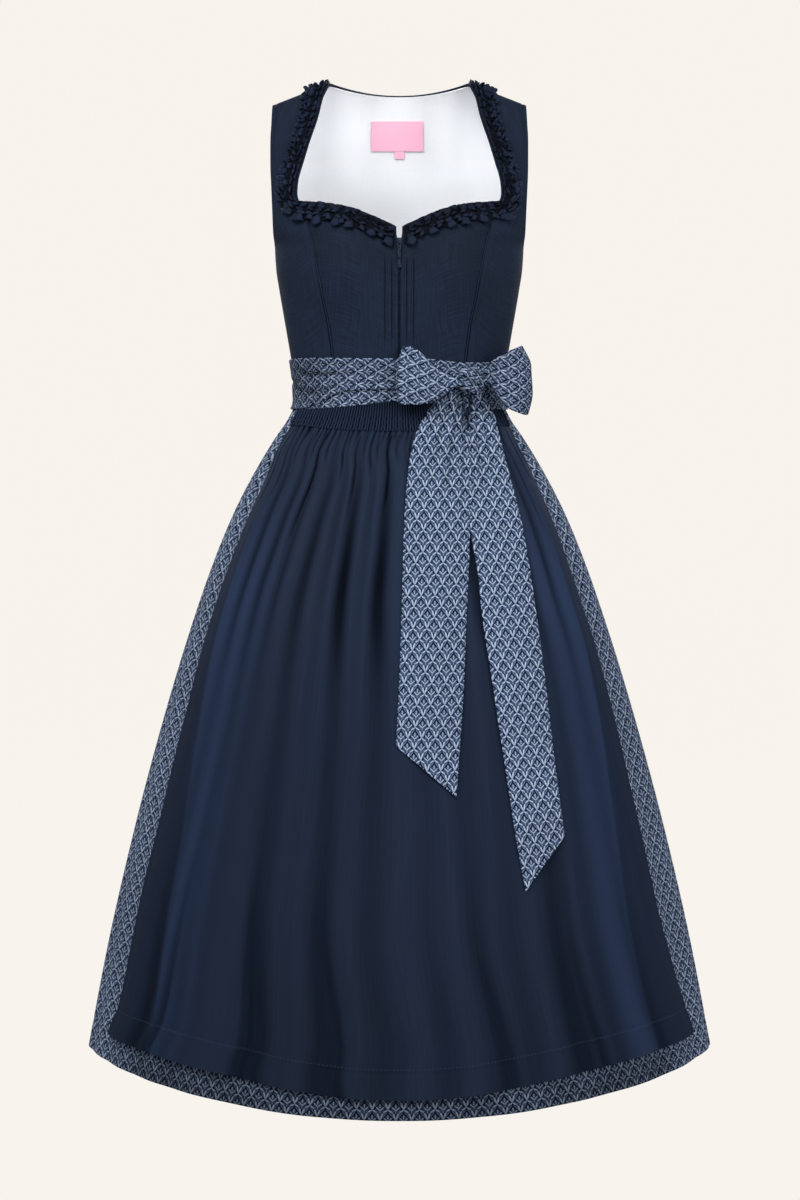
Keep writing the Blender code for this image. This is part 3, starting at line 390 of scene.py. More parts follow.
def placed(name, data):
    """A new object in the scene."""
    thing = bpy.data.objects.new(name, data)
    bpy.context.scene.collection.objects.link(thing)
    return thing


def add_piece(name, mesh, materials, node=None):
    """Put a mesh into the scene as a piece of the dress, in place of the node if one is given."""
    for material in materials:
        mesh.materials.append(material)
    piece = placed(name, mesh)
    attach(piece, "dress")
    if node:
        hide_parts(node)


def shell(name, outer, inner, slot, uv=None, lining=None, ring=False, fold=0.0, dark=0.0, cast=0.0):
    """A closed cloth shell between two grids, for the node of that name. The fold rounds its free edges.

    The texture coordinates of a ring have one column more than its points. Dark and cast are amounts from 0
    to 1 at each point: how much painted shade, as in a crease, and how much painted blue sheen.
    """
    rows, columns = outer.shape[:2]
    count = rows * columns
    if uv is None:
        uv = cloth_metres(outer)
    points = [outer.reshape(-1, 3), inner.reshape(-1, 3)]
    shade = np.stack(np.broadcast_arrays(dark, cast, np.zeros((rows, columns))), -1)
    tone = [shade.reshape(-1, 3), 0 * shade.reshape(-1, 3)]
    outer_faces, row, column = grid_faces(rows, columns, ring)
    outer_uv = np.stack([uv[row + i, column + j] for i, j in ((0, 0), (0, 1), (1, 1), (1, 0))], 1)
    faces = [outer_faces, outer_faces[:, ::-1] + count]
    corner_uv = [outer_uv, outer_uv[:, ::-1]]
    indices = [np.zeros(len(outer_faces)), np.full(len(outer_faces), 1 if lining else 0)]
    start = 2 * count
    for loop_places in border_loops(rows, columns, ring):
        i, j = np.array(loop_places).T
        inside = outer[np.clip(i, 1, rows - 2), j if ring else np.clip(j, 1, columns - 2)]
        points.append((outer[i, j] + inner[i, j]) / 2 + unit(outer[i, j] - inside) * fold)
        tone.append(shade[i, j])
        here, edge = i * columns + j, start + np.arange(len(i))
        there, edge_after = np.roll(here, -1), np.roll(edge, -1)
        faces.append(np.stack([there, here, edge, edge_after], -1))
        faces.append(np.stack([edge_after, edge, here + count, there + count], -1))
        next_j = np.roll(j, -1)
        wraps = ring & (np.abs(j - next_j) > 1)
        uv_here = uv[i, np.where(wraps & (j == 0), columns, j)]
        uv_there = uv[np.roll(i, -1), np.where(wraps & (next_j == 0), columns, next_j)]
        corner_uv += [np.stack([uv_there, uv_here, uv_here, uv_there], 1)] * 2
        indices.append(np.zeros(2 * len(i)))
        start += len(i)
    points, faces, corner_uv = np.concatenate(points), np.concatenate(faces), np.concatenate(corner_uv)
    first = points[outer_faces]
    normal = np.cross(first[:, 2] - first[:, 0], first[:, 3] - first[:, 1])
    if (normal * (outer - inner)[row, column]).sum() < 0:
        faces, corner_uv = faces[:, ::-1], corner_uv[:, ::-1]
    mesh = new_mesh(name, points, faces, corner_uv, np.concatenate(indices), np.concatenate(tone))
    mesh.set_sharp_from_angle(angle=math.radians(SHARP_SHELL))
    add_piece(name + "_cloth", mesh, [FINISHES[slot]] + ([lining] if lining else []), name)


def line_at(points, directions, distance, from_end=False):
    """Points and directions of a grid at a distance along its rows from the first or the last column."""
    if from_end:
        points, directions = points[:, ::-1], directions[:, ::-1]
    lengths = running(points, 1)
    line, out = (np.array([read_line(distance, along, row) for along, row in zip(lengths, grid)])
                 for grid in (points, directions))
    return line, unit(out)


def stitches(name, lines, finish, pitch=0.0034, gap=0.0012, half_width=0.00034, stand=0.00022):
    """Rows of small thread stitches along lines of points with outward directions."""
    points, faces = [], []
    for line, directions in lines:
        lengths = running(line[None], 1)[0]
        for start in np.arange(gap, lengths[-1] - pitch, pitch):
            places = start + np.array([0.0, 0.22, 0.78, 1.0]) * (pitch - gap)
            spot = read_line(places, lengths, line)
            out = unit(read_line(places, lengths, directions))
            side = unit(np.cross(spot[3] - spot[0], out[1])) * half_width
            base = len(points)
            points.append(spot[0] - out[0] * stand)
            for middle, up in zip(spot[1:3], out[1:3] * stand):
                points += [middle + side, middle + up * 2, middle - side, middle - up]
            points.append(spot[3] - out[3] * stand)
            for i in range(4):
                near, near_next, far, far_next = 1 + i, 1 + (i + 1) % 4, 5 + i, 5 + (i + 1) % 4
                for corners in ((0, near_next, near), (9, far, far_next), (near, near_next, far_next),
                                (near, far_next, far)):
                    faces.append([base + corner for corner in corners])
    add_piece(name, new_mesh(name, np.array(points), np.array(faces)), [finish])


# Materials

def linear(red, green, blue):
    """A colour from its screen values of 0 to 255."""
    values = [value / 255 for value in (red, green, blue)]
    return tuple(v / 12.92 if v <= 0.04045 else ((v + 0.055) / 1.055) ** 2.4 for v in values) + (1.0,)


BUMP_DISTANCE = 0.0002
LABEL_THREADS = 1400.0


class Finish:
    """A material's nodes, added with short calls. Inputs may be numbers, tuples or sockets."""

    def __init__(self, name, **constants):
        self.material = bpy.data.materials.new(name)
        self.material.use_nodes = True
        self.tree = self.material.node_tree
        self.shader = self.tree.nodes["Principled BSDF"]
        for socket, value in constants.items():
            self.shader.inputs[socket.replace("_", " ")].default_value = value
        cloth = self.node("UVMap", uv_map="cloth")
        parts = self.node("SeparateXYZ", cloth.outputs[0])
        self.cloth, self.u, self.v = cloth.outputs[0], parts.outputs[0], parts.outputs[1]

    def node(self, kind, *values, **settings):
        node = self.tree.nodes.new("ShaderNode" + kind)
        for setting, value in settings.items():
            setattr(node, setting, value)
        for socket, value in zip(node.inputs, values):
            if isinstance(value, bpy.types.NodeSocket):
                self.tree.links.new(value, socket)
            elif value is not None:
                socket.default_value = value
        return node

    def math(self, operation, *values, clamp=False):
        return self.node("Math", *values, operation=operation, use_clamp=clamp).outputs[0]

    def vector(self, operation, *values, output=0):
        return self.node("VectorMath", *values, operation=operation).outputs[output]

    def times(self, first, second):
        return self.math("MULTIPLY", first, second)

    def mapped(self, value, low, high, to_low=0.0, to_high=1.0):
        """The value moved from one range to another, smoothly and held at both ends."""
        limits = (low, high, to_low, to_high)
        return self.node("MapRange", value, *limits, interpolation_type="SMOOTHSTEP").outputs[0]

    def noise(self, scale, stretch=(1, 1, 1), detail=2.0, cloth=True):
        """Noise in cloth metres, or in space, between 0 and 1."""
        where = self.cloth if cloth else self.node("NewGeometry").outputs["Position"]
        place = self.vector("MULTIPLY", where, stretch)
        return self.node("TexNoise", place, None, scale, detail, noise_dimensions="3D").outputs[0]

    def ramp(self, value, *stops):
        """Colours at places along the value."""
        node = self.node("ValToRGB", value)
        ramp = node.color_ramp
        while len(ramp.elements) < len(stops):
            ramp.elements.new(0.5)
        for element, (place, colour) in zip(ramp.elements, stops):
            element.position = place
            element.color = colour
        return node.outputs[0]

    def weave(self, threads, strength, extra=None):
        """Raised threads both ways, with that many to the metre, as the shader's bump."""
        warp, weft = (self.math("SINE", self.times(way, threads * math.tau)) for way in (self.u, self.v))
        height = self.times(warp, weft)
        if extra is not None:
            height = self.math("ADD", height, extra)
        bump = self.node("Bump", strength, BUMP_DISTANCE, None, height)
        self.tree.links.new(bump.outputs[0], self.shader.inputs["Normal"])

    def colour(self, socket):
        self.tree.links.new(socket, self.shader.inputs["Base Color"])

    def scaled(self, colour, factor):
        return self.vector("MULTIPLY", colour, self.node("CombineXYZ", factor, factor, factor).outputs[0])

    def shaded(self, colour, amount, low, high):
        """A colour made darker and lighter by an amount from 0 to 1."""
        return self.scaled(colour, self.mapped(amount, 0.25, 0.75, low, high))

    def painted_shade_and_sheen(self, colour, depth, cast=None):
        """A colour with the shell's painted shade, and cast towards another colour as a painted sheen."""
        tone = self.node("Attribute", attribute_name="tone", attribute_type="GEOMETRY").outputs["Vector"]
        dark, toward = self.node("SeparateXYZ", tone).outputs[:2]
        if cast is not None:
            colour = self.node("Mix", toward, *[None] * 5, colour, cast, data_type="RGBA").outputs[2]
        shade = self.times(self.math("MINIMUM", dark, 1.0), depth)
        return self.scaled(colour, self.math("SUBTRACT", 1.0, shade))


# The printed repeat: half the diamond's width and height, then the strokes of one half of it in
# millimetres from its middle. Each stroke: points along it, half width, tone from dark 0 to light 1.
PRINT_HALF = (8.15, 12.55)
PRINT_SCALE = 0.90
PRINT_GROUND = 0.3
PRINT_SOFT = 0.28            # how far the edge of a stroke fades, to each side
PRINT_GRAIN = 0.22           # unevenness of the tone
PRINT_STROKES = (
    (((0, 9.2), (2.3, 6.0), (4.9, 2.3), (6.0, 0.6)), 0.75, 0.0),
    (((5.3, -0.6), (2.2, -3.4)), 0.55, 0.15),
    (((1.6, 9.0), (5.2, 4.2)), 0.45, 0.5),
    (((0, 11.6), (0, 9.2)), 0.70, 0.05),
    (((0, -5.6), (0, -8.2)), 0.75, 0.0),
    (((8.15, 0), (6.85, -0.75)), 0.45, 0.7),
    (((6.85, -0.75), (3.9, -2.5)), 0.75, 0.95),
    (((3.9, -2.6), (2.3, -5.6)), 0.50, 0.62),
    (((2.3, -5.2), (0.9, -9.6)), 0.85, 1.0),
    (((0.9, -9.6), (0, -12.5)), 0.70, 0.8),
    (((3.7, 2.9), (0, -0.6)), 0.60, 0.85),
    (((0, -0.8), (0, -3.6)), 0.35, 0.7),
    (((0, 5.9), (0, 2.4)), 0.65, 0.8),
    (((2.3, 3.9), (0, 1.4)), 0.30, 0.2),
)


def print_tone(finish):
    """Tone of the printed repeat at each point of the cloth."""
    half_x, half_y = (half * PRINT_SCALE / 1000 for half in PRINT_HALF)
    across = finish.math("DIVIDE", finish.u, 2 * half_x)
    along = finish.math("DIVIDE", finish.v, 2 * half_y)
    rest = []
    for operation in ("ADD", "SUBTRACT"):
        lean = finish.math(operation, across, along)
        rest.append(finish.math("SUBTRACT", lean, finish.math("ROUND", lean)))
    x = finish.math("ABSOLUTE", finish.times(finish.math("ADD", *rest), PRINT_HALF[0]))
    y = finish.times(finish.math("SUBTRACT", *rest), PRINT_HALF[1])
    spot = finish.node("CombineXYZ", x, y, 0.0).outputs[0]
    tone = PRINT_GROUND
    for places, half_width, value in PRINT_STROKES:
        for start, end in zip(places, places[1:]):
            way = Vector((end[0] - start[0], end[1] - start[1], 0))
            reach = finish.vector("SUBTRACT", spot, (*start, 0))
            dot = finish.vector("DOT_PRODUCT", reach, tuple(way / way.length_squared), output="Value")
            share = finish.math("ADD", dot, 0.0, clamp=True)
            nearest = finish.vector("SCALE", tuple(way), None, None, share)
            length = finish.vector("LENGTH", finish.vector("SUBTRACT", reach, nearest), output="Value")
            mask = finish.mapped(length, half_width - PRINT_SOFT, half_width + PRINT_SOFT, 1.0, 0.0)
            tone = finish.node("Mix", mask, None, tone, value, data_type="FLOAT").outputs[0]
    return tone


PRINT_DARK, PRINT_MIDDLE, PRINT_LIGHT = linear(11, 21, 43), linear(52, 68, 96), linear(164, 178, 200)


def printed_cotton(name, reverse=False):
    """Navy cotton with the light blue leaf and diamond repeat, or its paler back."""
    finish = Finish(name, Roughness=0.9, Specular_IOR_Level=0.04)
    tone = print_tone(finish)
    grain = finish.math("SUBTRACT", finish.noise(900.0, detail=1.0), 0.5)
    tone = finish.math("ADD", tone, finish.times(grain, PRINT_GRAIN))
    dark, middle, light = PRINT_DARK, PRINT_MIDDLE, PRINT_LIGHT
    if reverse:
        dark, light = linear(52, 68, 100), linear(120, 138, 168)
    colour = finish.ramp(tone, (0.0, dark), (0.3, middle), (1.0, light))
    # Random mottling, then painted shade from the shell's tone.
    finish.colour(finish.painted_shade_and_sheen(finish.shaded(colour, finish.noise(9.0), 0.93, 1.07), 0.7))
    finish.weave(2200.0, strength=0.35)
    return finish.material


def plain_cloth(name, colour, threads, slub=(0.86, 1.16), bump=0.5, slub_height=3.0, blue=None, depth=0.7,
                **constants):
    """Plain cloth with slubs in both directions of its weave."""
    finish = Finish(name, **constants)
    slubs = finish.math("ADD", finish.noise(260.0, (0.10, 2.6, 1)), finish.noise(260.0, (2.6, 0.10, 1)))
    slubs = finish.times(slubs, 0.5)
    base = finish.ramp(finish.noise(5.0, cloth=False), (0.35, colour), (0.65, blue or colour))
    # Slubs, then painted shade from the shell's tone, at that depth.
    finish.colour(finish.painted_shade_and_sheen(finish.shaded(base, finish.mapped(slubs, 0.40, 0.60), *slub), depth))
    finish.weave(threads, strength=bump, extra=finish.times(slubs, slub_height))
    return finish.material


def satin(name):
    """Apron satin: faint upright lines, soft gloss, a faint blue cast that comes and goes at random, and a
    painted blue sheen where the shell's tone asks for it.
    """
    finish = Finish(name, Roughness=0.62, Specular_IOR_Level=0.02, Specular_Tint=(0.55, 0.72, 1.0, 1.0))
    lines = finish.noise(420.0, (1.0, 0.02, 1), detail=1.0)
    broad = finish.noise(4.0, (1.0, 0.35, 1))
    base = finish.ramp(broad, (0.3, linear(32, 39, 54)), (0.7, linear(31, 40, 58)))
    # Painted shade from the shell's tone, and the colour of the painted blue sheen.
    finish.colour(finish.painted_shade_and_sheen(finish.shaded(base, lines, 0.93, 1.08), 0.85, linear(44, 58, 86)))
    finish.weave(1500.0, strength=0.22, extra=finish.times(lines, 2.5))
    return finish.material


def metal(name):
    finish = Finish(name, Metallic=0.75, Specular_IOR_Level=0.6)
    wear = finish.noise(900.0, cloth=False)
    finish.colour(finish.ramp(wear, (0.4, linear(24, 30, 44)), (0.75, linear(66, 74, 96))))
    finish.tree.links.new(finish.mapped(wear, 0.2, 0.8, 0.26, 0.44), finish.shader.inputs["Roughness"])
    return finish.material


def label_cloth(name):
    finish = Finish(name, Roughness=0.5, Specular_IOR_Level=0.3)
    ribs = finish.math("SINE", finish.times(finish.v, LABEL_THREADS * math.tau))
    finish.colour(finish.shaded(linear(255, 190, 214)[:3], finish.mapped(ribs, -1.0, 1.0), 0.95, 1.04))
    finish.weave(LABEL_THREADS, strength=0.3, extra=ribs)
    return finish.material


COTTON = plain_cloth("bodice cotton", linear(27, 37, 54), 1700.0, bump=0.05, slub_height=5.0,
                     blue=linear(30, 41, 60), Roughness=0.86, Specular_IOR_Level=0.12)
TRIM_CLOTH = plain_cloth("trim taffeta", linear(24, 32, 50), 1900.0, blue=linear(30, 40, 62), depth=0.88,
                         Roughness=0.6, Specular_IOR_Level=0.10)
LINING = plain_cloth("white lining", linear(240, 242, 245), 1600.0, slub=(0.99, 1.006), bump=0.15,
                     Roughness=0.8, Specular_IOR_Level=0.2)
PRINT = printed_cotton("printed cotton")
PRINT_BACK = printed_cotton("printed cotton reverse", reverse=True)
SATIN = satin("apron satin")
METAL = metal("zip metal")
PINK = label_cloth("label pink")
THREAD = plain_cloth("navy thread", linear(36, 47, 70), 5000.0, Roughness=0.5, Specular_IOR_Level=0.2)
PINK_THREAD = plain_cloth("pink thread", linear(250, 196, 216), 5000.0, Roughness=0.5)
# The finish of each material slot
FINISHES = {"navy_cotton": COTTON, "navy_trim": TRIM_CLOTH, "white_lining": LINING, "printed_cotton": PRINT,
            "navy_satin": SATIN, "zip_metal": METAL, "pink_label": PINK}


# Bodice

BODICE_LOWEST = WAIST_DROP - SEAM_GAP / 2
SEAM_FOLD = SEAM_GAP / 2 - 0.00001      # rounded edges that all but meet at the seams
TOP_SHADE = 0.42                        # painted shade over the upper bodice
ARMHOLE_FADE = (0.165, 0.185)           # drops at which the armhole's edge turns into the side seam
ARMHOLE_STITCH, LAST_ARMHOLE_STITCH = 0.0040, 0.182
PRINCESS_STITCH = 0.0024
STITCHED = []                           # lines of navy thread on the bodice


def meet_at_shoulder(directions):
    """Keep the topmost directions in the plane of the shoulder seam, so that the walls meet squarely."""
    directions = directions.copy()
    directions[0, :, 1] = 0
    return unit(directions)


def neckline_drop(x):
    """Drop of the low stretch of the neckline, from its corner to the zip."""
    along = np.linspace(NECK_CORNER, 1.0, 200)
    return np.interp(x, NECKLINE["x"](along)[::-1], NECKLINE["drop"](along)[::-1])


def strap_x(drop):
    """Half width at the neck edge of the strap and, below the corner, at the princess seam."""
    along = np.linspace(0.0, NECK_CORNER, 200)
    on_strap = np.interp(drop, NECKLINE["drop"](along), NECKLINE["x"](along))
    return np.where(drop < CORNER_DROP, on_strap, PRINCESS(drop) + SEAM_GAP)


def drag_lines(x, drop, seed):
    """Slight unevenness of a worn bodice, within 0.3 mm."""
    waves = np.random.default_rng(seed).uniform((-40, 20, 0), (40, 90, 6.28), (6, 3))
    return sum(0.00005 * np.sin(a * x + b * drop + c) for a, b, c in waves)


def outer_edge(from_edge, drops):
    """How far the cloth sinks by the armhole, along its stitches, and by the side seam under it."""
    seam = ramp(drops, *ARMHOLE_FADE)
    stitched = bump_at(from_edge, ARMHOLE_STITCH, 0.0008)
    return 0.0005 * seam * bump_at(from_edge, 0, 0.0010) + 0.0006 * (1 - seam) * stitched


def stitch_armhole(outer, directions, drops, from_end):
    line, out = line_at(outer, directions, ARMHOLE_STITCH, from_end)
    keep = drops[:, 0] < LAST_ARMHOLE_STITCH
    STITCHED.append((line[keep], out[keep]))


def bodice_shell(name, points, directions, relief, dark, lining=None):
    """A bodice panel with its relief. It gives back its outer face."""
    outer, inner = raised(points, directions, relief), points - directions * BODICE_WALL
    shell(name, outer, inner, "navy_cotton", lining=lining, fold=SEAM_FOLD, dark=dark)
    return outer


def bodice_front(side, word):
    """Centre front panel with its two stitched tucks, the zip's edge and the princess seam."""
    shares = packed((0.0, 0.025, 6), (0.025, 0.245, 46), (0.245, 0.95, 30), (0.95, 1.0, 18))
    waist_width = PRINCESS_ROWS[-1][1] - ZIP_EDGE_X
    downs = packed((0.0, 1.0, 64))
    straight = np.interp(shares, (0.20, 0.45), (1, 0))

    def x_at(drop):
        leaning = (PRINCESS(drop) - ZIP_EDGE_X) * shares
        parting = ZIP_PARTING * (1 - ramp(drop, 0.168, 0.180)) * clamped(1 - shares / 0.05)
        return ZIP_EDGE_X + parting + straight * waist_width * shares + (1 - straight) * leaning

    top = np.full(len(shares), 0.15)
    for _ in range(8):
        top = neckline_drop(x_at(top))
    drops = top + (BODICE_LOWEST - top) * downs[:, None]
    x = x_at(drops)
    points, directions = on_form(bodice_form, bodice_angle(side * x, drops), drops)
    bare = np.interp(drops - top, TUCK_START, (0, 1)) * np.interp(drops, TUCK_END, (1, 0))
    relief = drag_lines(side * x, drops, 3)
    # Painted shade over the upper bodice.
    dark = TOP_SHADE * (1 - ramp(drops, 0.188, 0.235))
    for tuck in TUCK_X:
        groove = bump_at(x, tuck + 0.0003, 0.00055) + 0.2 * bump_at(x, tuck - 0.0028, 0.00045)
        ridge = bump_at(x, tuck - 0.0013, 0.00080)
        relief += bare * (TUCK_RISE * ridge - 0.0009 * groove)
        # Painted shade in each tuck's groove, painted highlight on its ridge.
        dark += bare * (0.85 * groove - 0.25 * ridge)
    seam = running(points, 1)
    from_seam = from_last(seam)
    stitched = bump_at(from_seam, PRINCESS_STITCH, 0.0006)
    welt = bump_at(from_seam, 0.0013, 0.0005)
    sunk = bump_at(from_seam, 0, 0.0006)
    relief += 0.0005 * welt - 0.0005 * bump_at(seam, 0, 0.0008) - 0.0010 * sunk - 0.0009 * stitched
    # Painted shade in the seam and along its stitches, painted highlight on the welt between them.
    dark += sunk + 0.9 * stitched - 0.45 * welt
    outer = bodice_shell("bodice_front_" + word, points, directions, relief, dark, LINING)
    STITCHED.append(line_at(outer, directions, PRINCESS_STITCH, from_end=True))


def bodice_side(side, word):
    """Side front, cut in one with the strap over the shoulder."""
    drops = (BODICE_LOWEST * packed((0, 1, 118)) ** 1.6)[:, None]
    start = bodice_angle(strap_x(drops), drops)
    shares = packed((0, 0.06, 8), (0.06, 0.90, 26), (0.90, 1, 14))
    angles = start + (bodice_reach(drops) - start) * shares
    points, directions = on_form(bodice_form, side * angles, drops)
    directions = meet_at_shoulder(directions)
    along = running(points, 1)
    from_end = from_last(along)
    seam = ramp(drops, CORNER_DROP, CORNER_DROP + 0.01)
    armhole = 1 - ramp(drops, *ARMHOLE_FADE)
    relief = drag_lines(points[..., 0], drops, 5) * ramp(drops, 0, 0.02) - outer_edge(from_end, drops)
    relief -= 0.0007 * seam * bump_at(along, 0, 0.0009)
    # Painted shade along the seam at the strap, over the upper strap and along the armhole's stitches.
    dark = 0.9 * seam * bump_at(along, 0, 0.0006) + TOP_SHADE * (1 - ramp(drops, 0.060, 0.165))
    dark += 0.5 * armhole * bump_at(from_end, ARMHOLE_STITCH, 0.0008)
    outer = bodice_shell("bodice_side_" + word, points, directions, relief, dark, LINING)
    stitch_armhole(outer, directions, drops, from_end=True)


def back_seam(drop):
    """Share of the half back at which its curved seam runs."""
    return np.interp(drop, (0.06, 0.14, WAIST_DROP), (0.72, 0.50, 0.46))


def back_grid(rows, columns):
    """Points and directions of the back, from the +X side seam round to the -X one, and the shares."""
    half = packed((0, 0.44, columns // 4), (0.44, 0.48, 8), (0.48, 0.95, columns // 4), (0.95, 1, 6))
    shares = np.concatenate([-half[:0:-1], half])
    x_top = np.interp(np.abs(shares), (0, 0.434, 1), (0, NECK_HALF, BODICE["side"](0)))
    top = BACK_NECK_DROP * clamped(1 - (x_top / NECK_HALF) ** 2)
    downs = (BODICE_LOWEST * packed((0, 1, rows)) ** 1.6)[:, None]
    drops = top + downs * (BODICE_LOWEST - top) / BODICE_LOWEST
    points, directions = on_form(bodice_form, 180 + bodice_reach(drops) * shares, drops)
    return points, meet_at_shoulder(directions), shares, drops


def bodice_back():
    """Back with two curved seams, as such a bodice is cut."""
    points, directions, shares, drops = back_grid(84, 92)
    relief = drag_lines(points[..., 0], drops, 9) * ramp(drops, 0, 0.02)
    fade = ramp(drops, 0.055, 0.075)
    away = (np.abs(shares) - back_seam(drops)) * 0.15
    seam, welt = fade * bump_at(away, 0, 0.0010), fade * bump_at(away, -0.004, 0.0008)
    # Painted shade in the seams and along the welts, and over the top of the back.
    dark = 0.9 * seam + 0.4 * welt + TOP_SHADE * (1 - ramp(drops, 0.0, 0.080))
    along = running(points, 1)
    relief -= 0.0009 * seam + 0.0005 * welt
    relief -= outer_edge(along, drops) + outer_edge(from_last(along), drops)
    outer = bodice_shell("bodice_back", points, directions, relief, dark)
    for from_end in (False, True):
        stitch_armhole(outer, directions, drops, from_end)
    keep = drops[:, 0] > 0.07
    for sign in (-1, 1):
        places = sign * (back_seam(drops[:, len(shares) // 2]) - 0.027)
        line, out = (np.array([read_line(place, shares, row) for place, row in zip(places, grid)])
                     for grid in (outer, directions))
        STITCHED.append((line[keep], unit(out[keep])))


def lining_back():
    points, directions, _, drops = back_grid(72, 72)
    points, directions, drops = points[2:], directions[2:], drops[2:]
    outer = points - directions * (BODICE_WALL + SEAM_GAP)
    # Painted shade, darker towards the bottom, at the top middle and at the lower sides; painted light on
    # the upper sides.
    high = bump_at(points[..., 0], 0, 0.045) * bump_at(drops, 0.012, 0.030)
    dark = 0.18 * ramp(drops, 0.080, 0.165) + 0.14 * high
    aside = np.abs(points[..., 0])
    dark -= 0.40 * ramp(aside, 0.026, 0.062) * (1 - ramp(drops, 0.045, 0.125))
    dark += 0.05 * ramp(aside, 0.045, 0.085) * ramp(drops, 0.085, 0.125)
    dark += 0.10 * bump_at(aside, 0, 0.06) * ramp(drops, 0.095, 0.135)
    shell("lining_back", outer - directions * LINING_WALL, outer, "white_lining", dark=dark)


# Neckline trim

SPINE = np.linspace(0, 1, 900)
SPINE_DROPS = NECKLINE["drop"](SPINE)
SPINE_POINTS = bodice_form(bodice_angle(NECKLINE["x"](SPINE), SPINE_DROPS), SPINE_DROPS)
SPINE_LENGTHS = running(SPINE_POINTS[None], 1)[0]
TRIM_LENGTH = SPINE_LENGTHS[-1]
TRIM_WALL, TRIM_WAVE = 0.0010, 0.0006


def trim_place(side, along, across):
    """Points and directions on the bodice under the trim, by metres along it and across it."""
    share = np.interp(along, SPINE_LENGTHS, SPINE)
    lean = np.radians(NECKLINE["lean"](share))
    x = NECKLINE["x"](share) + across * np.cos(lean)
    drop = np.maximum(NECKLINE["drop"](share) + across * np.sin(lean), 0.0)
    points, directions = on_form(bodice_form, side * bodice_angle(x, drop), drop)
    shoulder = ramp(np.asarray(along) + 0 * across, 0.0, 0.008)[..., None]
    return points, unit(directions * np.concatenate([shoulder * 0 + 1, shoulder, shoulder * 0 + 1], -1))


def trim_tape(side, word):
    """The flat strip that carries the petals, with a plain edge along the neckline."""
    widths = packed((0, 1, 14)) * TAPE_WIDTH
    across, along = np.meshgrid(widths, np.linspace(0, TRIM_LENGTH, 260), indexing="ij")
    points, directions = trim_place(side, along, across)
    wave = np.sin(along / TRIM_LENGTH * math.pi * TRIM_WAVES) ** 2
    lift = TRIM_GAP + TRIM_WALL + TRIM_WAVE * wave * ramp(across, 0.004, 0.012)
    # The tape is in painted shade, deepest beyond its plain edge where the petals cover it.
    shell("neck_trim_" + word, raised(points, directions, lift), points + directions * TRIM_GAP,
          "navy_trim", dark=0.62 + 0.34 * ramp(across, 0.001, 0.004))


# Rows of petals: where they are stitched across the trim, which way their mouths point, length, height,
# width against the pitch, how far they may turn
STRAP_PETALS = (
    (0.0026, -1, 0.0030, 0.0026, 1.10, 0.50), (0.0046, -1, 0.0044, 0.0032, 1.25, 0.60),
    (0.0076, -1, 0.0038, 0.0044, 1.15, 1.10), (0.0088, 1, 0.0040, 0.0050, 1.20, 1.10),
    (0.0122, 1, 0.0044, 0.0048, 1.25, 0.90), (0.0160, 1, 0.0050, 0.0042, 1.35, 0.60),
)
LOW_PETALS = (
    (0.0024, -1, 0.0028, 0.0026, 0.70, 0.50), (0.0062, 1, 0.0040, 0.0040, 0.80, 0.90),
    (0.0050, -1, 0.0048, 0.0034, 1.10, 0.60), (0.0084, -1, 0.0046, 0.0046, 0.95, 0.95),
    (0.0100, 1, 0.0050, 0.0052, 0.95, 0.80), (0.0128, 1, 0.0086, 0.0060, 0.96, 0.22),
)
STRAP_PITCH, LOW_PITCH = 0.0069, 0.0102
FIRST_PETALS, LAST_PETALS = 0.0028, 0.003        # from the shoulder and from the zip
LOBES = (1.18, 0.74)                            # the lowest petals are large and small in turn
PETAL_WALL, PETAL_LIFT = 0.0006, 0.0014
PETAL_HOLLOW = 0.0036                           # height at which a petal's painted shade fades out
PETAL_PROFILE = curve((0, 0.2, 0.55, 0.85, 1), (0.12, 0.55, 0.95, 1.0, 0.92))


def petal_grid(chance, row, pitch, turn, out, grown):
    """One petal as metres along, metres across and height, on a grid of turn and distance out."""
    stitched, way, length, rise, width, freedom = row
    size, high, pinch, phase = chance.uniform((0.82, 0.78, 0.0, 0.0), (1.12, 1.12, 0.55, 6.28))
    tilt = chance.uniform(-freedom, freedom)
    pinch = pinch * min(1.0, 1.6 * freedom)
    half = grown * pitch / 2 * width * (0.30 + 0.72 * out ** 0.6)
    crown = 1 - 0.10 * np.cos(2 * turn) * out + 0.07 * np.sin(3 * turn + phase) * out
    reach = grown * out * length * size * crown
    along = -half * np.cos(turn) * math.cos(tilt) + reach * math.sin(tilt)
    across = stitched + way * (reach * math.cos(tilt) - 0.4 * half * np.cos(turn) * math.sin(tilt))
    arch = np.sin(turn) ** 0.7 * (1 - pinch * bump_at(turn, math.pi / 2 + 0.3 * math.sin(phase), 0.38))
    crumple = 1 + 0.32 * min(freedom, 0.4) * np.sin(4.2 * turn + 5.0 * out + phase)
    return along, across, rise * high * PETAL_PROFILE(out) * arch * crumple


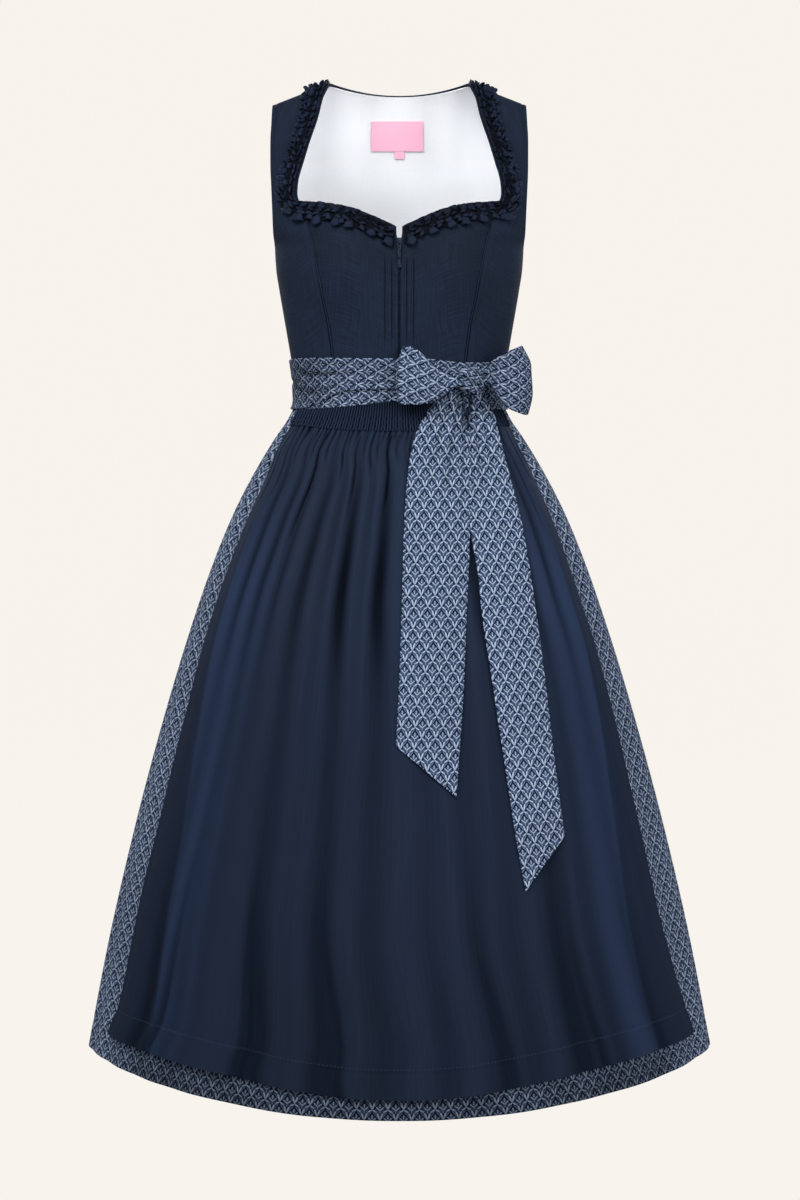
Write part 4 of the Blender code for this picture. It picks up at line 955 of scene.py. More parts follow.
def petals(side, word):
    """Small open petals in crowded rows, pinched along the stitched middle of the trim."""
    chance = np.random.default_rng(11 if side < 0 else 12)
    turn, out = np.meshgrid(np.linspace(0, math.pi, 14), packed((0, 1, 7)), indexing="ij")
    quads = grid_faces(*turn.shape)[0]
    rim = np.array(border_loops(*turn.shape)[0]) @ (turn.shape[1], 1)
    after = np.roll(rim, -1)
    apart = turn.size
    rim_quads = np.stack([after, rim, rim + apart, after + apart], -1)
    one = np.concatenate([quads, quads[:, ::-1] + apart, rim_quads])
    points, faces, coordinates, tones = [], [], [], []
    centre, number = FIRST_PETALS, 0
    while centre < TRIM_LENGTH - LAST_PETALS:
        on_strap = np.interp(centre, SPINE_LENGTHS, SPINE) < NECK_CORNER
        pitch, petal_rows = (STRAP_PITCH, STRAP_PETALS) if on_strap else (LOW_PITCH, LOW_PETALS)
        number += 1
        for row in petal_rows:
            grown = 1.0 if on_strap or row is not petal_rows[-1] else LOBES[number % 2]
            along, across, rise = petal_grid(chance, row, pitch, turn, out, grown)
            along = along + centre + chance.uniform(-0.22, 0.22) * pitch
            along = np.clip(along, 0.0002, TRIM_LENGTH - 0.0002)
            across = np.maximum(across * (1 + 0.30 * (1 - ramp(centre, 0.0, 0.075))), 0.0006)
            base, directions = trim_place(side, along, across)
            lift = PETAL_LIFT + rise * (1 + 0.25 * (1 - ramp(centre, 0.0, 0.05)))
            lower = lift - PETAL_WALL * (0.4 + 0.6 * np.sin(turn))
            faces.append((one if side * row[1] > 0 else one[:, ::-1]) + 2 * apart * len(faces))
            points += [raised(base, directions, height).reshape(-1, 3) for height in (lift, lower)]
            coordinates.append(np.tile(np.stack([along, across], -1).reshape(-1, 2), (2, 1)))
            # Painted shade where a petal lies low, and full painted shade on its underside.
            hollow_shade = clamped(1.15 - rise / PETAL_HOLLOW) ** 1.3
            tones += [hollow_shade.reshape(-1), 0 * hollow_shade.reshape(-1) + 1]
        centre += pitch * chance.uniform(0.86, 1.14)
    points, faces, coordinates = np.concatenate(points), np.concatenate(faces), np.concatenate(coordinates)
    tone = np.stack([np.concatenate(tones)] * 3, -1)
    mesh = new_mesh("trim_petals_" + word, points, faces, coordinates[faces], tone=tone)
    mesh.set_sharp_from_angle(angle=math.radians(SHARP_PETAL))
    add_piece("trim_petals_" + word, mesh, [TRIM_CLOTH])


# Zip

TEETH_DROPS = (0.190, 0.3035, 0.0016)    # first, end and pitch
TEETH_DEPTH = 0.0011
TOOTH_HALF = (0.00082, 0.0006, 0.0004)   # half width, half length down, half height
TOOTH_SHIFT = 0.00025                    # sideways, to each side in turn
TAPE_HALF, TAPE_DROPS, TAPE_WALL = 0.012, (0.1736, 0.352), 0.0008


def zip_teeth():
    """The closed coil of the zip, deep between the two front edges."""
    drops = np.arange(*TEETH_DROPS)
    points, directions = on_form(bodice_form, 0 * drops, drops)
    block = np.array([(-1, -1, -1), (1, -1, -1), (1, 1, -1), (-1, 1, -1), (-0.7, -0.6, 1), (0.7, -0.6, 1),
                      (0.7, 0.6, 1), (-0.7, 0.6, 1)]) * TOOTH_HALF
    quads = np.array([(3, 2, 1, 0), (4, 5, 6, 7), (0, 1, 5, 4), (1, 2, 6, 5), (2, 3, 7, 6), (3, 0, 4, 7)])
    corners, faces = [], []
    for i, (point, out) in enumerate(zip(points, directions)):
        centre = point - out * TEETH_DEPTH + (TOOTH_SHIFT * (-1) ** i, 0, 0)
        corners.append(centre + block @ [(1.0, 0, 0), np.cross(out, (1.0, 0, 0)), out])
        faces.append(quads + len(block) * i)
    mesh = new_mesh("zip_teeth", np.concatenate(corners), np.concatenate(faces))
    mesh.shade_flat()
    add_piece("zip_teeth", mesh, [METAL])


def zip_tape():
    """The woven tape behind the two front edges. Its top lies in the notch between the trims."""
    x, drops = np.meshgrid(np.linspace(-TAPE_HALF, TAPE_HALF, 26), np.linspace(*TAPE_DROPS, 90))
    points, directions = on_form(bodice_form, bodice_angle(x, drops), drops)
    outer = points - directions * (BODICE_WALL + 2 * SEAM_GAP)
    # The tape is darkened as painted shade between the front edges, with darker lines 3.6 mm to each side of
    # its middle.
    ribs = 0.35 * bump_at(np.abs(x), 0.0036, 0.0006)
    shell("zip_tape", outer, outer - directions * TAPE_WALL, "navy_cotton", dark=0.35 + ribs)


# Skirt

# Folds of the back, one for each wave: shift of its valley in waves, drift to the hem, depth, half width
BACK_FOLDS = (
    (0.05, 0.10, 0.90, 0.27), (-0.12, -0.15, 1.05, 0.24), (0.10, 0.18, 0.80, 0.30),
    (0.0, -0.10, 1.10, 0.22), (-0.08, 0.12, 0.95, 0.28), (0.14, 0.05, 0.75, 0.25),
    (-0.05, -0.20, 1.08, 0.30), (0.06, 0.10, 0.92, 0.23), (-0.10, 0.02, 1.02, 0.27),
    (0.09, 0.16, 0.85, 0.24), (0.0, -0.14, 1.10, 0.29), (-0.14, 0.08, 0.80, 0.25),
    (0.08, -0.05, 1.00, 0.26), (-0.04, 0.14, 0.94, 0.30), (0.11, -0.12, 1.06, 0.23),
    (-0.06, 0.06, 0.88, 0.27),
)
FRONT_FOLDS = tuple(BACK_FOLDS[(5 * i + 2) % 16] for i in range(FRONT_WAVES))
SIDE_EASE = 0.55             # how much wider the print runs by the side seams
SKIRT_STITCH = 0.030         # height of the hem's stitch line
GATHERS_FADE = 0.045         # metres over which the small gathers fade below the waist
HEM_SHADE = 0.88             # painted shade on the front right at the hem, under the apron


def hem_drop(angle):
    return HEM_DROP + HEM_DIP * np.exp(-(angle / 22.0) ** 2)


def skirt_half(kind, middle, waves, folds, columns, closer, gathered, valley_shade, ease_reach):
    """Half of the skirt with uneven gathers, from one side seam round to the other.

    The last values: how much closer the columns are at the seams, how deep the small gathers at the waist
    are, how dark the painted shade in the valleys is, and the metres over which the side ease fades.
    """
    even = np.linspace(-1, 1, columns)
    shares = (1 + (1 + closer) * even - closer * even ** 3) / 2
    start = WAIST_DROP + SEAM_GAP / 2
    downs = packed((0, 0.12, 26), (0.12, 0.955, 54), (0.955, 1, 14))[:, None]
    whole = middle - 90 + 180 * shares
    drops = start + downs * (hem_drop(whole) - start)
    depth = np.minimum(SKIRT["front"](drops), SKIRT["back"](drops))
    angles = middle + (shares * 2 - 1) * seam_angle(depth, SKIRT["power_y"](drops))
    points, directions = on_form(skirt_form, angles, drops)
    end_fade = ramp(np.minimum(shares, 1 - shares), 0.0, 0.05)
    valley = 0 * drops
    for i, (shift, drift, deep, width) in enumerate(folds):
        place = (i + 0.5 + shift + drift * downs) / waves
        valley = np.maximum(valley, deep * bump_at(shares, place, width / waves * (0.8 + 0.3 * downs)))
    lift = GATHERS[kind](drops) * (1 - 2 * np.minimum(valley, 1.05)) * end_fade
    near_waist = np.exp(-(drops - WAIST_DROP) / GATHERS_FADE) * ramp(drops, WAIST_DROP, WAIST_DROP + 0.010)
    fine = np.sin(2 * math.pi * waves * 2.9 * shares + 1.3 * np.sin(9 * shares)) ** 2
    lift -= gathered * near_waist * fine * end_fade
    from_hem = (1 - downs) * (hem_drop(whole) - start)
    lift -= 0.0004 * bump_at(from_hem, SKIRT_STITCH, 0.002)
    outer = raised(points, directions, lift)
    lengths = running(outer, 1)
    surplus = lengths[-1, -1] - lengths[:, -1:]
    if kind == "front":
        moved = ramp(shares, 0.22, 0.78)
    else:
        places = [(i + 0.5 + fold[0]) / waves for i, fold in enumerate(folds)]
        moved = sum(ramp(shares, place - 0.012, place + 0.012) for place in places) / waves
    up = np.flip(running(outer[::-1], 0), 0)
    across = lengths + surplus * moved
    for edge, sign in ((lengths, 1), (from_last(lengths), -1)):
        across += sign * SIDE_EASE * ease_reach * np.exp(-edge / ease_reach)
    uv = np.stack([across, up], -1)
    # Painted shade in the valleys of the gathers and, on the front, right at the hem under the apron.
    dark = valley_shade * clamped(valley) ** 1.5 * end_fade
    if kind == "front":
        dark += HEM_SHADE * (1 - ramp(from_hem, 0.004, 0.060)) * (1 - ramp(np.abs(angles), 46, 72))
    shell("skirt_" + kind, outer, outer - directions * SKIRT_WALL, "printed_cotton", uv=uv,
          lining=PRINT_BACK, fold=0.0003, dark=dark)


# Apron

# Creases below the smocked band, as narrow troughs that widen downwards.
# Columns: place across at the start, middle and end, how far down the last two are, depth, half width
APRON_CREASES = (
    (0.020, 0.014, 0.010, 0.04, 0.11, 0.0026, 0.0045), (0.052, 0.046, 0.040, 0.05, 0.15, 0.0034, 0.0055),
    (0.085, 0.088, 0.078, 0.06, 0.14, 0.0040, 0.0055), (0.118, 0.110, 0.104, 0.03, 0.06, 0.0026, 0.0040),
    (0.146, 0.140, 0.132, 0.03, 0.08, 0.0030, 0.0045), (0.180, 0.184, 0.180, 0.04, 0.10, 0.0036, 0.0050),
    (0.212, 0.212, 0.206, 0.03, 0.06, 0.0028, 0.0040), (0.246, 0.228, 0.209, 0.09, 0.26, 0.0058, 0.0070),
    (0.276, 0.272, 0.268, 0.03, 0.07, 0.0030, 0.0045), (0.304, 0.302, 0.296, 0.03, 0.09, 0.0028, 0.0045),
    (0.336, 0.332, 0.325, 0.04, 0.11, 0.0034, 0.0050), (0.379, 0.373, 0.385, 0.08, 0.24, 0.0044, 0.0060),
    (0.402, 0.402, 0.400, 0.03, 0.06, 0.0026, 0.0040), (0.424, 0.422, 0.420, 0.04, 0.10, 0.0034, 0.0045),
    (0.447, 0.444, 0.440, 0.03, 0.07, 0.0030, 0.0040), (0.479, 0.468, 0.459, 0.08, 0.24, 0.0060, 0.0065),
    (0.498, 0.498, 0.500, 0.03, 0.06, 0.0030, 0.0040), (0.530, 0.532, 0.536, 0.05, 0.12, 0.0034, 0.0050),
    (0.566, 0.568, 0.572, 0.04, 0.09, 0.0030, 0.0045), (0.604, 0.610, 0.620, 0.06, 0.18, 0.0042, 0.0060),
    (0.648, 0.652, 0.658, 0.04, 0.09, 0.0030, 0.0045), (0.690, 0.698, 0.706, 0.05, 0.13, 0.0036, 0.0055),
    (0.735, 0.742, 0.752, 0.06, 0.20, 0.0044, 0.0060), (0.776, 0.782, 0.790, 0.03, 0.08, 0.0030, 0.0045),
    (0.816, 0.826, 0.836, 0.05, 0.15, 0.0042, 0.0060), (0.858, 0.866, 0.872, 0.04, 0.09, 0.0030, 0.0050),
    (0.896, 0.910, 0.922, 0.06, 0.20, 0.0044, 0.0060), (0.940, 0.948, 0.955, 0.04, 0.10, 0.0032, 0.0050),
    (0.972, 0.978, 0.982, 0.03, 0.08, 0.0024, 0.0045),
)
APRON_FULLER = 0.0028        # how far the shell stands out beyond the plain solid between its creases
APRON_CUT = (0.76, 0.722)    # flat width and length
APRON_DARK = 0.0062          # depth at which the painted shade in a crease is full
NOTCH_DEPTH = 0.0040         # the small gathers under the band
SIDE_TURN = 0.0026           # how far the side edges turn in
BAND_CUT, BAND_MIDDLE = 0.38, 0.365
BAND_STITCHES = (0.58, 0.84)     # the two pinched rows, as shares down the band
HEM_STITCH = 0.030           # height of the bottom hem's stitches
SIDE_STITCH = 0.0105         # the same at the sides
# Width of the turned side hem as seen from in front, by the share down; the painted shade along the side
# edges has this width
SIDE_HEM = ((0.0, 0.0070), (0.33, 0.0140), (0.47, 0.0200), (0.72, 0.0340), (1.0, 0.0460))


def band_bottom(angle):
    beyond = np.exp(-np.maximum(np.abs(angle) - 50, 0) / 30)
    return BAND_DROP - BAND_CURVE * (angle / 50.0) ** 2 * beyond


BELT_EDGE = curve((0, 8, 17, 27, 38, 55, 90, 180),
                  (0.3495, 0.3512, 0.3535, 0.3554, 0.3573, 0.3590, 0.3610, 0.3600))


def belt_bottom(angle):
    """Lower edge of the belt, higher at the centre front."""
    return BELT_EDGE(np.abs(angle))


def apron_angle(share, drop):
    left, right = APRON_EDGES["left"](drop), APRON_EDGES["right"](drop)
    return left + (right - left) * share


def ridge_phase(angle):
    """Count of the smocked ridges, which look evenly close from the front."""
    places = (apron_angle(0, BAND_MIDDLE), angle, apron_angle(1, BAND_MIDDLE))
    left, x, right = (skirt_form(place, 0.372)[..., 0] for place in places)
    return BAND_RIDGES * (x - left) / (right - left)


def apron_relief(share, down):
    """How far the folds sink the apron: troughs that wander and grow broad and shallow to the hem."""
    relief = 0 * share
    broader = 1 + 0.6 * ramp(down, 0.20, 0.60)
    for top, middle, low, deep_top, deep_middle, deep_low, width in APRON_FOLDS:
        centre = curve((0, 0.33, 1), (top, middle, low))(down)
        depth = curve((0, 0.12, 0.33, 1), (deep_top * 0.2, deep_top, deep_middle, deep_low))(down)
        relief += (depth * bump_at(share, centre, width * broader)) ** 3
    return relief ** (1 / 3) * (1 - 0.42 * ramp(down, 0.20, 0.45) + 0.25 * ramp(down, 0.62, 0.95))


def apron_creases(share, down):
    """The fine creases and the small gathers right under the smocked band."""
    relief = 0 * share
    for top, middle, end, half_way, stop, deep, width in APRON_CREASES:
        centre = curve((0, half_way, stop), (top, middle, end))(down)
        strength = ramp(down, -0.001, 0.012) * (1 - ramp(down, half_way, stop))
        spread = width * (0.55 + 0.9 * clamped(down / stop))
        relief = np.maximum(relief, deep * strength * bump_at(share, centre, spread))
    phase = 0.52 * ridge_phase(apron_angle(share, BAND_MIDDLE))
    phase += 0.5 * np.sin(23 * share) + 0.3 * np.sin(57 * share)
    uneven = 0.70 + 0.30 * np.sin(41 * share + 1.0) * np.sin(97 * share)
    notch = (0.5 + 0.5 * np.cos(2 * math.pi * phase)) ** 1.5 * uneven
    return relief, notch * (0.35 * np.exp(-down / 0.030) + 0.65 * np.exp(-(down / 0.017) ** 2))


def apron():
    share, down = np.meshgrid(packed((0, 0.04, 12), (0.04, 0.96, 266), (0.96, 1, 12)),
                              packed((0, 0.10, 32), (0.10, 0.94, 54), (0.94, 1, 16)))
    guess = apron_angle(share, 0.375 + 0.69 * down)
    top = band_bottom(guess) + SEAM_GAP
    bottom = APRON_HEM_DROP + APRON_HEM_DIP * np.exp(-(guess / 20.0) ** 2)
    drop = top + (bottom - top) * down
    points, directions = on_form(skirt_form, apron_angle(share, drop), drop)
    tilt = clamped(down / 0.14)[..., None]
    directions = unit(level(directions) * (1 - tilt) + directions * tilt)
    folds = apron_relief(share, down)
    creases, notch = apron_creases(share, down)
    sunk = np.maximum(folds * 1.35, creases) + NOTCH_DEPTH * notch
    width = running(points, 1)
    edge = np.minimum(width, from_last(width))
    seen = points[..., 0]
    seen_edge = np.minimum(seen - seen[:, :1], seen[:, -1:] - seen)
    from_hem = (1 - down) * (bottom - top)
    side_hem = np.interp(down, *zip(*SIDE_HEM))
    turned_in = clamped(1 - seen_edge / side_hem)
    relief = sunk + SIDE_TURN * turned_in ** 1.4 + 0.0003 * bump_at(edge, SIDE_STITCH, 0.0012)
    relief += 0.0005 * bump_at(from_hem, HEM_STITCH, 0.0014)
    fuller = APRON_FULLER * ramp(down, 0.03, 0.16) * ramp(edge, 0.0, 0.03)
    lift = APRON_LIFT(drop) + fuller - relief
    lift = np.maximum(lift, APRON_WALL + 0.0016 + 0.0006 * ramp(down, 0, 0.1))
    outer = raised(points, directions, lift)
    # Painted shade in the folds and creases, weaker lower down.
    dark = clamped(1.15 * sunk / APRON_DARK) ** 1.3 * (1 - 0.34 * ramp(down, 0.20, 0.45))
    # Painted shade along the turned side hems and in the small gathers under the band, painted highlights
    # between the upper creases.
    strip = 1 - ramp(seen_edge, side_hem - 0.0050, side_hem + 0.0020)
    ridges = (1 - ramp(down, 0.22, 0.50)) * (1 - clamped(sunk / NOTCH_DEPTH))
    dark += 0.22 * strip + 0.75 * clamped(notch) ** 1.5 - 0.20 * ridges
    # A thin line of painted shade under the hem's stitches and a painted highlight along them.
    dark += 0.15 * bump_at(from_hem, HEM_STITCH - 0.0012, 0.0010)
    dark -= 0.30 * bump_at(from_hem, HEM_STITCH, 0.0009)
    # A painted blue sheen just inside the side hems, and a little within them.
    sheen = ramp(seen_edge, side_hem, side_hem + 0.003) * bump_at(seen_edge, side_hem + 0.010, 0.034)
    sheen = sheen * ramp(down, 0.05, 0.30)
    uv = np.stack([(share - 0.5) * APRON_CUT[0], -running(points, 0)], -1)
    shell("apron", outer, outer - directions * APRON_WALL, "navy_satin", uv=uv, fold=0.0003,
          dark=np.clip(dark, -1, 1), cast=0.62 * sheen + 0.15 * strip)
    nearest, column = np.abs(from_hem - HEM_STITCH).argmin(0), np.arange(outer.shape[1])
    lines = [tuple(grid[nearest, column][8:-8] for grid in (outer, directions))]
    for from_end in (False, True):
        lines.append(tuple(line[6:-12] for line in line_at(outer, directions, SIDE_STITCH, from_end)))
    stitches("apron_stitches", lines, THREAD, pitch=0.0042, gap=0.0017)


def apron_gathers():
    """Smocked band: upright ridges, pinched together in turn along two rows of stitches."""
    share, down = np.meshgrid(np.linspace(0, 1, 761), packed((0, 1, 20)))
    angle = apron_angle(share, BAND_MIDDLE)
    top = belt_bottom(angle) + SEAM_GAP
    drop = top + (band_bottom(angle) - top) * down
    points, directions = on_form(skirt_form, angle, drop)
    directions = level(directions)
    inner = points + directions * (BAND_LIFT - BAND_WALL)
    phase = ridge_phase(angle)
    turn = 2 * math.pi * phase
    pinch = sum(bump_at(down, row, 0.05) for row in BAND_STITCHES)
    drawn = 0.9 * pinch * np.where(np.floor(phase) % 2 == 0, 1, -1)
    height = (0.5 - 0.5 * np.cos(turn + np.where(pinch > 0.02, drawn, 0))) ** 0.7
    # Painted shade in the valleys between the ridges, painted highlights on them, and a little more painted
    # shade where they are pinched.
    dark = np.clip(1.1 * (1 - height) ** 1.2 - 0.34 * height + 0.06 * pinch, -1, 1)
    height = 1.4 * BAND_RISE * height * (1 - 0.30 * clamped(pinch))
    uv = np.stack([share * BAND_CUT, -drop], -1)
    outer = raised(inner, directions, BAND_WALL + height)
    shell("apron_gathers", outer, inner, "navy_satin", uv=uv, dark=dark)


# Belt and bow

BELT_CREASE = 0.0012         # depth at which the painted shade in a crease of the belt is full
TAIL_CREASE, TAIL_SINK = 0.0026, 0.0034      # the same for a hanging end, and its deepest crease
LOOP_CREASE, LOOP_WAVE = 0.0034, 0.0008      # folds of a loop at the knot, and its slow waves


def belt_top(angle):
    """Upper edge of the belt: lower at the viewer's left side, and where the knot pulls it in."""
    pulled = ramp(angle, 8, 34) * (1 - ramp(angle, 80, 120))
    return BELT_TOP + 0.0034 * bump_at(angle, -96, 24) + 0.0046 * pulled - 0.0006 * bump_at(angle, -38, 18)


def belt_rows(angles, bottom, count):
    """Rows round the waist that leave the bodice's form for the skirt's below the waist seam."""
    top = belt_top(angles)
    drops = top + (bottom - top) * packed((0, 1, count))[:, None]
    points, directions = on_form(bodice_form, angles, drops)
    directions = level(directions)
    flare = skirt_form(angles + 0 * drops, np.maximum(drops, WAIST_DROP)) - points
    low = ramp(drops, 0.350, 0.360)[..., None]
    return points + low * (flare * np.array([1.0, 1.0, 0.0]) + 0.0010 * directions), directions, drops


def belt_shade(angles):
    """Painted shade on the tie: a little all round, and more at the viewer's left."""
    return 0.07 + 0.36 * ramp(-angles, 30, 52) * (1 - ramp(-angles, 104, 130))


def belt_pull(angles):
    """The tie lies closer to the waist at the viewer's left."""
    return (1 - 0.36 * bump_at(angles, -90, 30))[..., None]


def tie_cloth(points, shift=0.0):
    """Cloth coordinates with the print's long axis round the waist, the same for all rows."""
    across = running(points, 1).mean(0) + 0 * points[..., 0]
    return np.stack([-running(points, 0), across + shift], -1)


def belt_share(drops):
    return (drops - drops[0]) / (drops[-1] - drops[0])


def belt_creases(drops, angles, rows):
    """Long soft creases along a pulled tie.

    Each has its start and end angle, its share down at the start and the end, its depth and its half width.
    """
    relief, share = 0 * drops, belt_share(drops)
    for start, end, high, low, deep, width in rows:
        travel = clamped((angles - start) / (end - start))
        fade = np.sin(math.pi * travel) ** 0.7
        relief += deep * fade * bump_at(share, high + (low - high) * travel, width)
    return relief


def belt_under():
    """First turn of the tie, all round the waist."""
    angles = np.arange(-180, 180, 360 / 264)
    points, directions, drops = belt_rows(angles, belt_bottom(angles), 24)
    creases = ((100, 178, 0.30, 0.55, 0.0008, 0.05), (-178, -110, 0.62, 0.35, 0.0008, 0.05),
               (120, 170, 0.75, 0.62, 0.0006, 0.04), (-165, -120, 0.20, 0.16, 0.0005, 0.04),
               (-90, -20, 0.80, 0.72, 0.0006, 0.04), (58, 95, 0.45, 0.30, 0.0008, 0.05))
    relief = belt_creases(drops, angles, creases)
    # Painted shade in the creases and at the viewer's left.
    dark = 0.5 * clamped(relief / BELT_CREASE) + belt_shade(angles)
    directions = directions * belt_pull(angles)
    outer = raised(points, directions, BELT_GAP + BELT_WALL - relief)
    closed = np.concatenate([outer, outer[:, :1]], 1)
    shell("belt_under", outer, points + directions * BELT_GAP, "printed_cotton", uv=tie_cloth(closed),
          ring=True, fold=0.0004, dark=dark)


def belt_over():
    """Second turn, over the front. Its lower edge climbs towards the knot."""
    angles = np.linspace(-12 * BELT_STEP, 7 * BELT_STEP, 156)
    climb = curve((-100, -60, -46, -35, -26, -2, 60),
                  (0.3603, 0.3586, 0.3520, 0.3430, 0.3377, 0.3362, 0.3420))
    points, directions, drops = belt_rows(angles, climb(angles), 26)
    creases = ((-95, -20, 0.40, 0.92, 0.0012, 0.060), (-74, -26, 0.14, 0.52, 0.0012, 0.050),
               (-80, 5, 0.22, 0.60, 0.0009, 0.050), (-60, 8, 0.12, 0.28, 0.0007, 0.040),
               (-112, -64, 0.47, 0.43, 0.0024, 0.045), (-30, 12, 0.75, 0.80, 0.0010, 0.050),
               (-12, 14, 0.40, 0.46, 0.0010, 0.040))
    relief = belt_creases(drops, angles, creases)
    loose = ramp(angles, -44, -26) * (1 - ramp(angles, 4, 20)) * ramp(belt_share(drops), 0.55, 1.0)
    base = 2 * (BELT_GAP + BELT_WALL) + 0.0013 * loose
    directions = directions * belt_pull(angles)
    outer = raised(points, directions, base - relief)
    inner = raised(points, directions, base - BELT_WALL - 0.3 * relief)
    # Painted shade in the creases and at the viewer's left.
    dark = 0.55 * clamped(relief / BELT_CREASE) + belt_shade(angles)
    shell("belt_over", outer, inner, "printed_cotton", uv=tie_cloth(outer, 0.003), fold=0.0005, dark=dark)


def tail(name, rows, ends, creases, light=0.0):
    """A hanging end of the tie.

    Each crease has its share across at the top and the end, the drops of both, its depth and its width.
    Light is painted light: it makes the whole end lighter.
    """
    edges = curves("left right", rows)
    start = rows[0][0]
    share, down = np.meshgrid(packed((0, 0.06, 5), (0.06, 0.94, 36), (0.94, 1, 5)),
                              packed((0, 0.22, 60), (0.22, 1, 84)))
    drop = start + (ends[0] + (ends[1] - ends[0]) * share - start) * down
    left, right = edges["left"](drop), edges["right"](drop)
    x = left + (right - left) * share
    mean = TAIL_LIFT(drop) + APRON_FULLER * ramp(drop, 0.385, 0.470)
    directions = np.zeros(x.shape + (3,))
    for _ in range(3):
        points, directions = on_form(skirt_form, skirt_angle(x - mean * directions[..., 0], drop), drop)
        directions = level(directions)
    relief = 0 * drop
    for top, end, high, low, deep, width in creases:
        travel = clamped((drop - high) / (low - high))
        fade = ramp(travel, 0.0, 0.08) * (1 - ramp(travel, 0.35, 1.0))
        spread = width * (0.8 + 0.7 * travel)
        relief += deep * fade * bump_at(share, top + (end - top) * travel, spread)
    edge = np.minimum(share, 1 - share)
    relief += 0.0004 * np.exp(-edge / 0.02)
    sunk = np.minimum(relief, TAIL_SINK)
    outer = raised(points, directions, mean - sunk)
    inner = raised(points, directions, mean - TAIL_WALL - sunk * 0.6)
    uv = np.stack([x - (left + right) / 2, -drop], -1)
    # Painted shade in the creases and under the knot, most towards the edges there; the light argument
    # paints the whole end lighter.
    shade_under_knot = 1 - ramp(drop, start + 0.008, start + 0.044)
    dark = 0.75 * clamped(sunk / TAIL_CREASE) - light + shade_under_knot * (0.20 + 0.8 * np.exp(-edge / 0.12))
    shell(name, outer, inner, "printed_cotton", uv=uv, fold=0.0005, dark=dark)


def loop(name, stations, seed, slants):
    """A ribbon loop: out from the knot, round a soft fold and back behind itself.

    The slants move the fold sideways at the top, the middle and the bottom of the ribbon.
    """
    stations = np.array(stations)
    chord = running(stations[None, :, :2], 1)[0]
    along = np.linspace(0, chord[-1], 128)
    x, y, top, bottom = (curve(chord, stations[:, i])(along) for i in range(4))
    track = np.stack([x, y], -1)
    tangent = unit(np.gradient(track, axis=0))
    sideways = np.stack([tangent[:, 1], -tangent[:, 0], 0 * x], -1)
    share = packed((0, 0.06, 4), (0.06, 0.94, 24), (0.94, 1, 4))[:, None]
    z = top + (bottom - top) * share
    fold_place = along[np.abs(x - x[0]).argmax()]
    slant = curve((0, 0.3, 0.7, 1), (slants[0], slants[1], slants[1], slants[2]))(share)
    points = np.stack([x + slant * bump_at(along, fold_place, 0.024), y + 0 * z, z], -1)
    from_knot = np.minimum(along, chord[-1] - along)
    waves = np.random.default_rng(seed).uniform((2.2, 0.0), (4.6, 6.28), (3, 2))
    crease = sum(np.cos(2 * math.pi * count * share + phase) for count, phase in waves) / 3
    relief = LOOP_CREASE * crease * np.exp(-from_knot / 0.021) * ramp(from_knot, 0.0, 0.004)
    relief += LOOP_WAVE * np.cos(2 * math.pi * 1.3 * share + seed) * ramp(from_knot, 0.0, 0.03)
    # Painted shade in the creases near the knot, right by the knot, and a little all over.
    dark = clamped(-crease) * np.exp(-from_knot / 0.024) * 1.6 + 0.4 * np.exp(-from_knot / 0.010) + 0.12
    middle = raised(points, sideways, relief)
    half = (LOOP_WALL / 2) * (1 - 0.5 * np.exp(-np.minimum(share, 1 - share) / 0.02))
    uv = np.stack([z - np.mean(z, axis=0), along + 0 * z], -1)
    shell(name, raised(middle, sideways, half), raised(middle, -sideways, half), "printed_cotton", uv=uv,
          fold=0.0004, dark=clamped(dark))


KNOT_GRID = (56, 84)


def knot():
    """The tie wrapped tightly over itself, with folds running slantwise across it."""
    rows, columns = KNOT_GRID
    polar = np.linspace(0.02, math.pi - 0.02, rows)[:, None]
    turn = np.linspace(0, 2 * math.pi, columns, endpoint=False)
    level_radius = np.sin(polar)
    ball = np.stack([level_radius * np.cos(turn), level_radius * np.sin(turn), np.cos(polar) + 0 * turn], -1)
    boxy = np.sign(ball) * np.abs(ball) ** 0.75
    slant = boxy[..., 2] + 0.65 * boxy[..., 0] + 0.25 * boxy[..., 0] ** 2
    folds = np.abs(np.sin(3.4 * slant + 0.5))
    folds = np.minimum(folds, 0.25 + np.abs(np.sin(5.2 * (boxy[..., 0] - 0.35 * boxy[..., 2]) + 1.1))) ** 0.6
    size = 0.80 + 0.20 * folds
    # Painted shade between the knot's folds.
    dark = clamped(1.28 - 1.3 * folds)
    local = boxy * 0.5 * size[..., None] * np.array(KNOT_SIZE)
    sine, cosine = math.sin(math.radians(KNOT_TURN)), math.cos(math.radians(KNOT_TURN))
    spin = np.array([[cosine, -sine, 0], [sine, cosine, 0], [0, 0, 1]])
    points = (local @ spin.T + np.array(KNOT_CENTRE)).reshape(-1, 3)
    uv = np.stack([local[..., 2] * 1.1 + local[..., 0] * 0.5, local[..., 0] - local[..., 2] * 0.5], -1)
    faces = np.roll(grid_faces(rows, columns, ring=True)[0][:, ::-1], 1, axis=1)
    corner_uv = uv.reshape(-1, 2)[faces]
    first = np.arange(0, columns, 2)
    second, third = first + 1, (first + 2) % columns
    base, pole = (rows - 1) * columns + 0 * first, len(points) + 0 * first
    ends = np.stack([pole, first, second, third, pole + 1, base + third, base + second, base + first], -1)
    ends = ends.reshape(-1, 4)
    points = np.concatenate([points, [points[:columns].mean(0), points[-columns:].mean(0)]])
    tone = np.stack([np.append(dark, (0, 0))] * 3, -1)
    corner_uv = np.concatenate([corner_uv, np.zeros((len(ends), 4, 2))])
    mesh = new_mesh("bow_knot", points, np.concatenate([faces, ends]), corner_uv, tone=tone)
    add_piece("bow_knot_cloth", mesh, [PRINT], "bow_knot")


# Label

LABEL_STITCH = 0.0016        # how far the stitches are from the ends


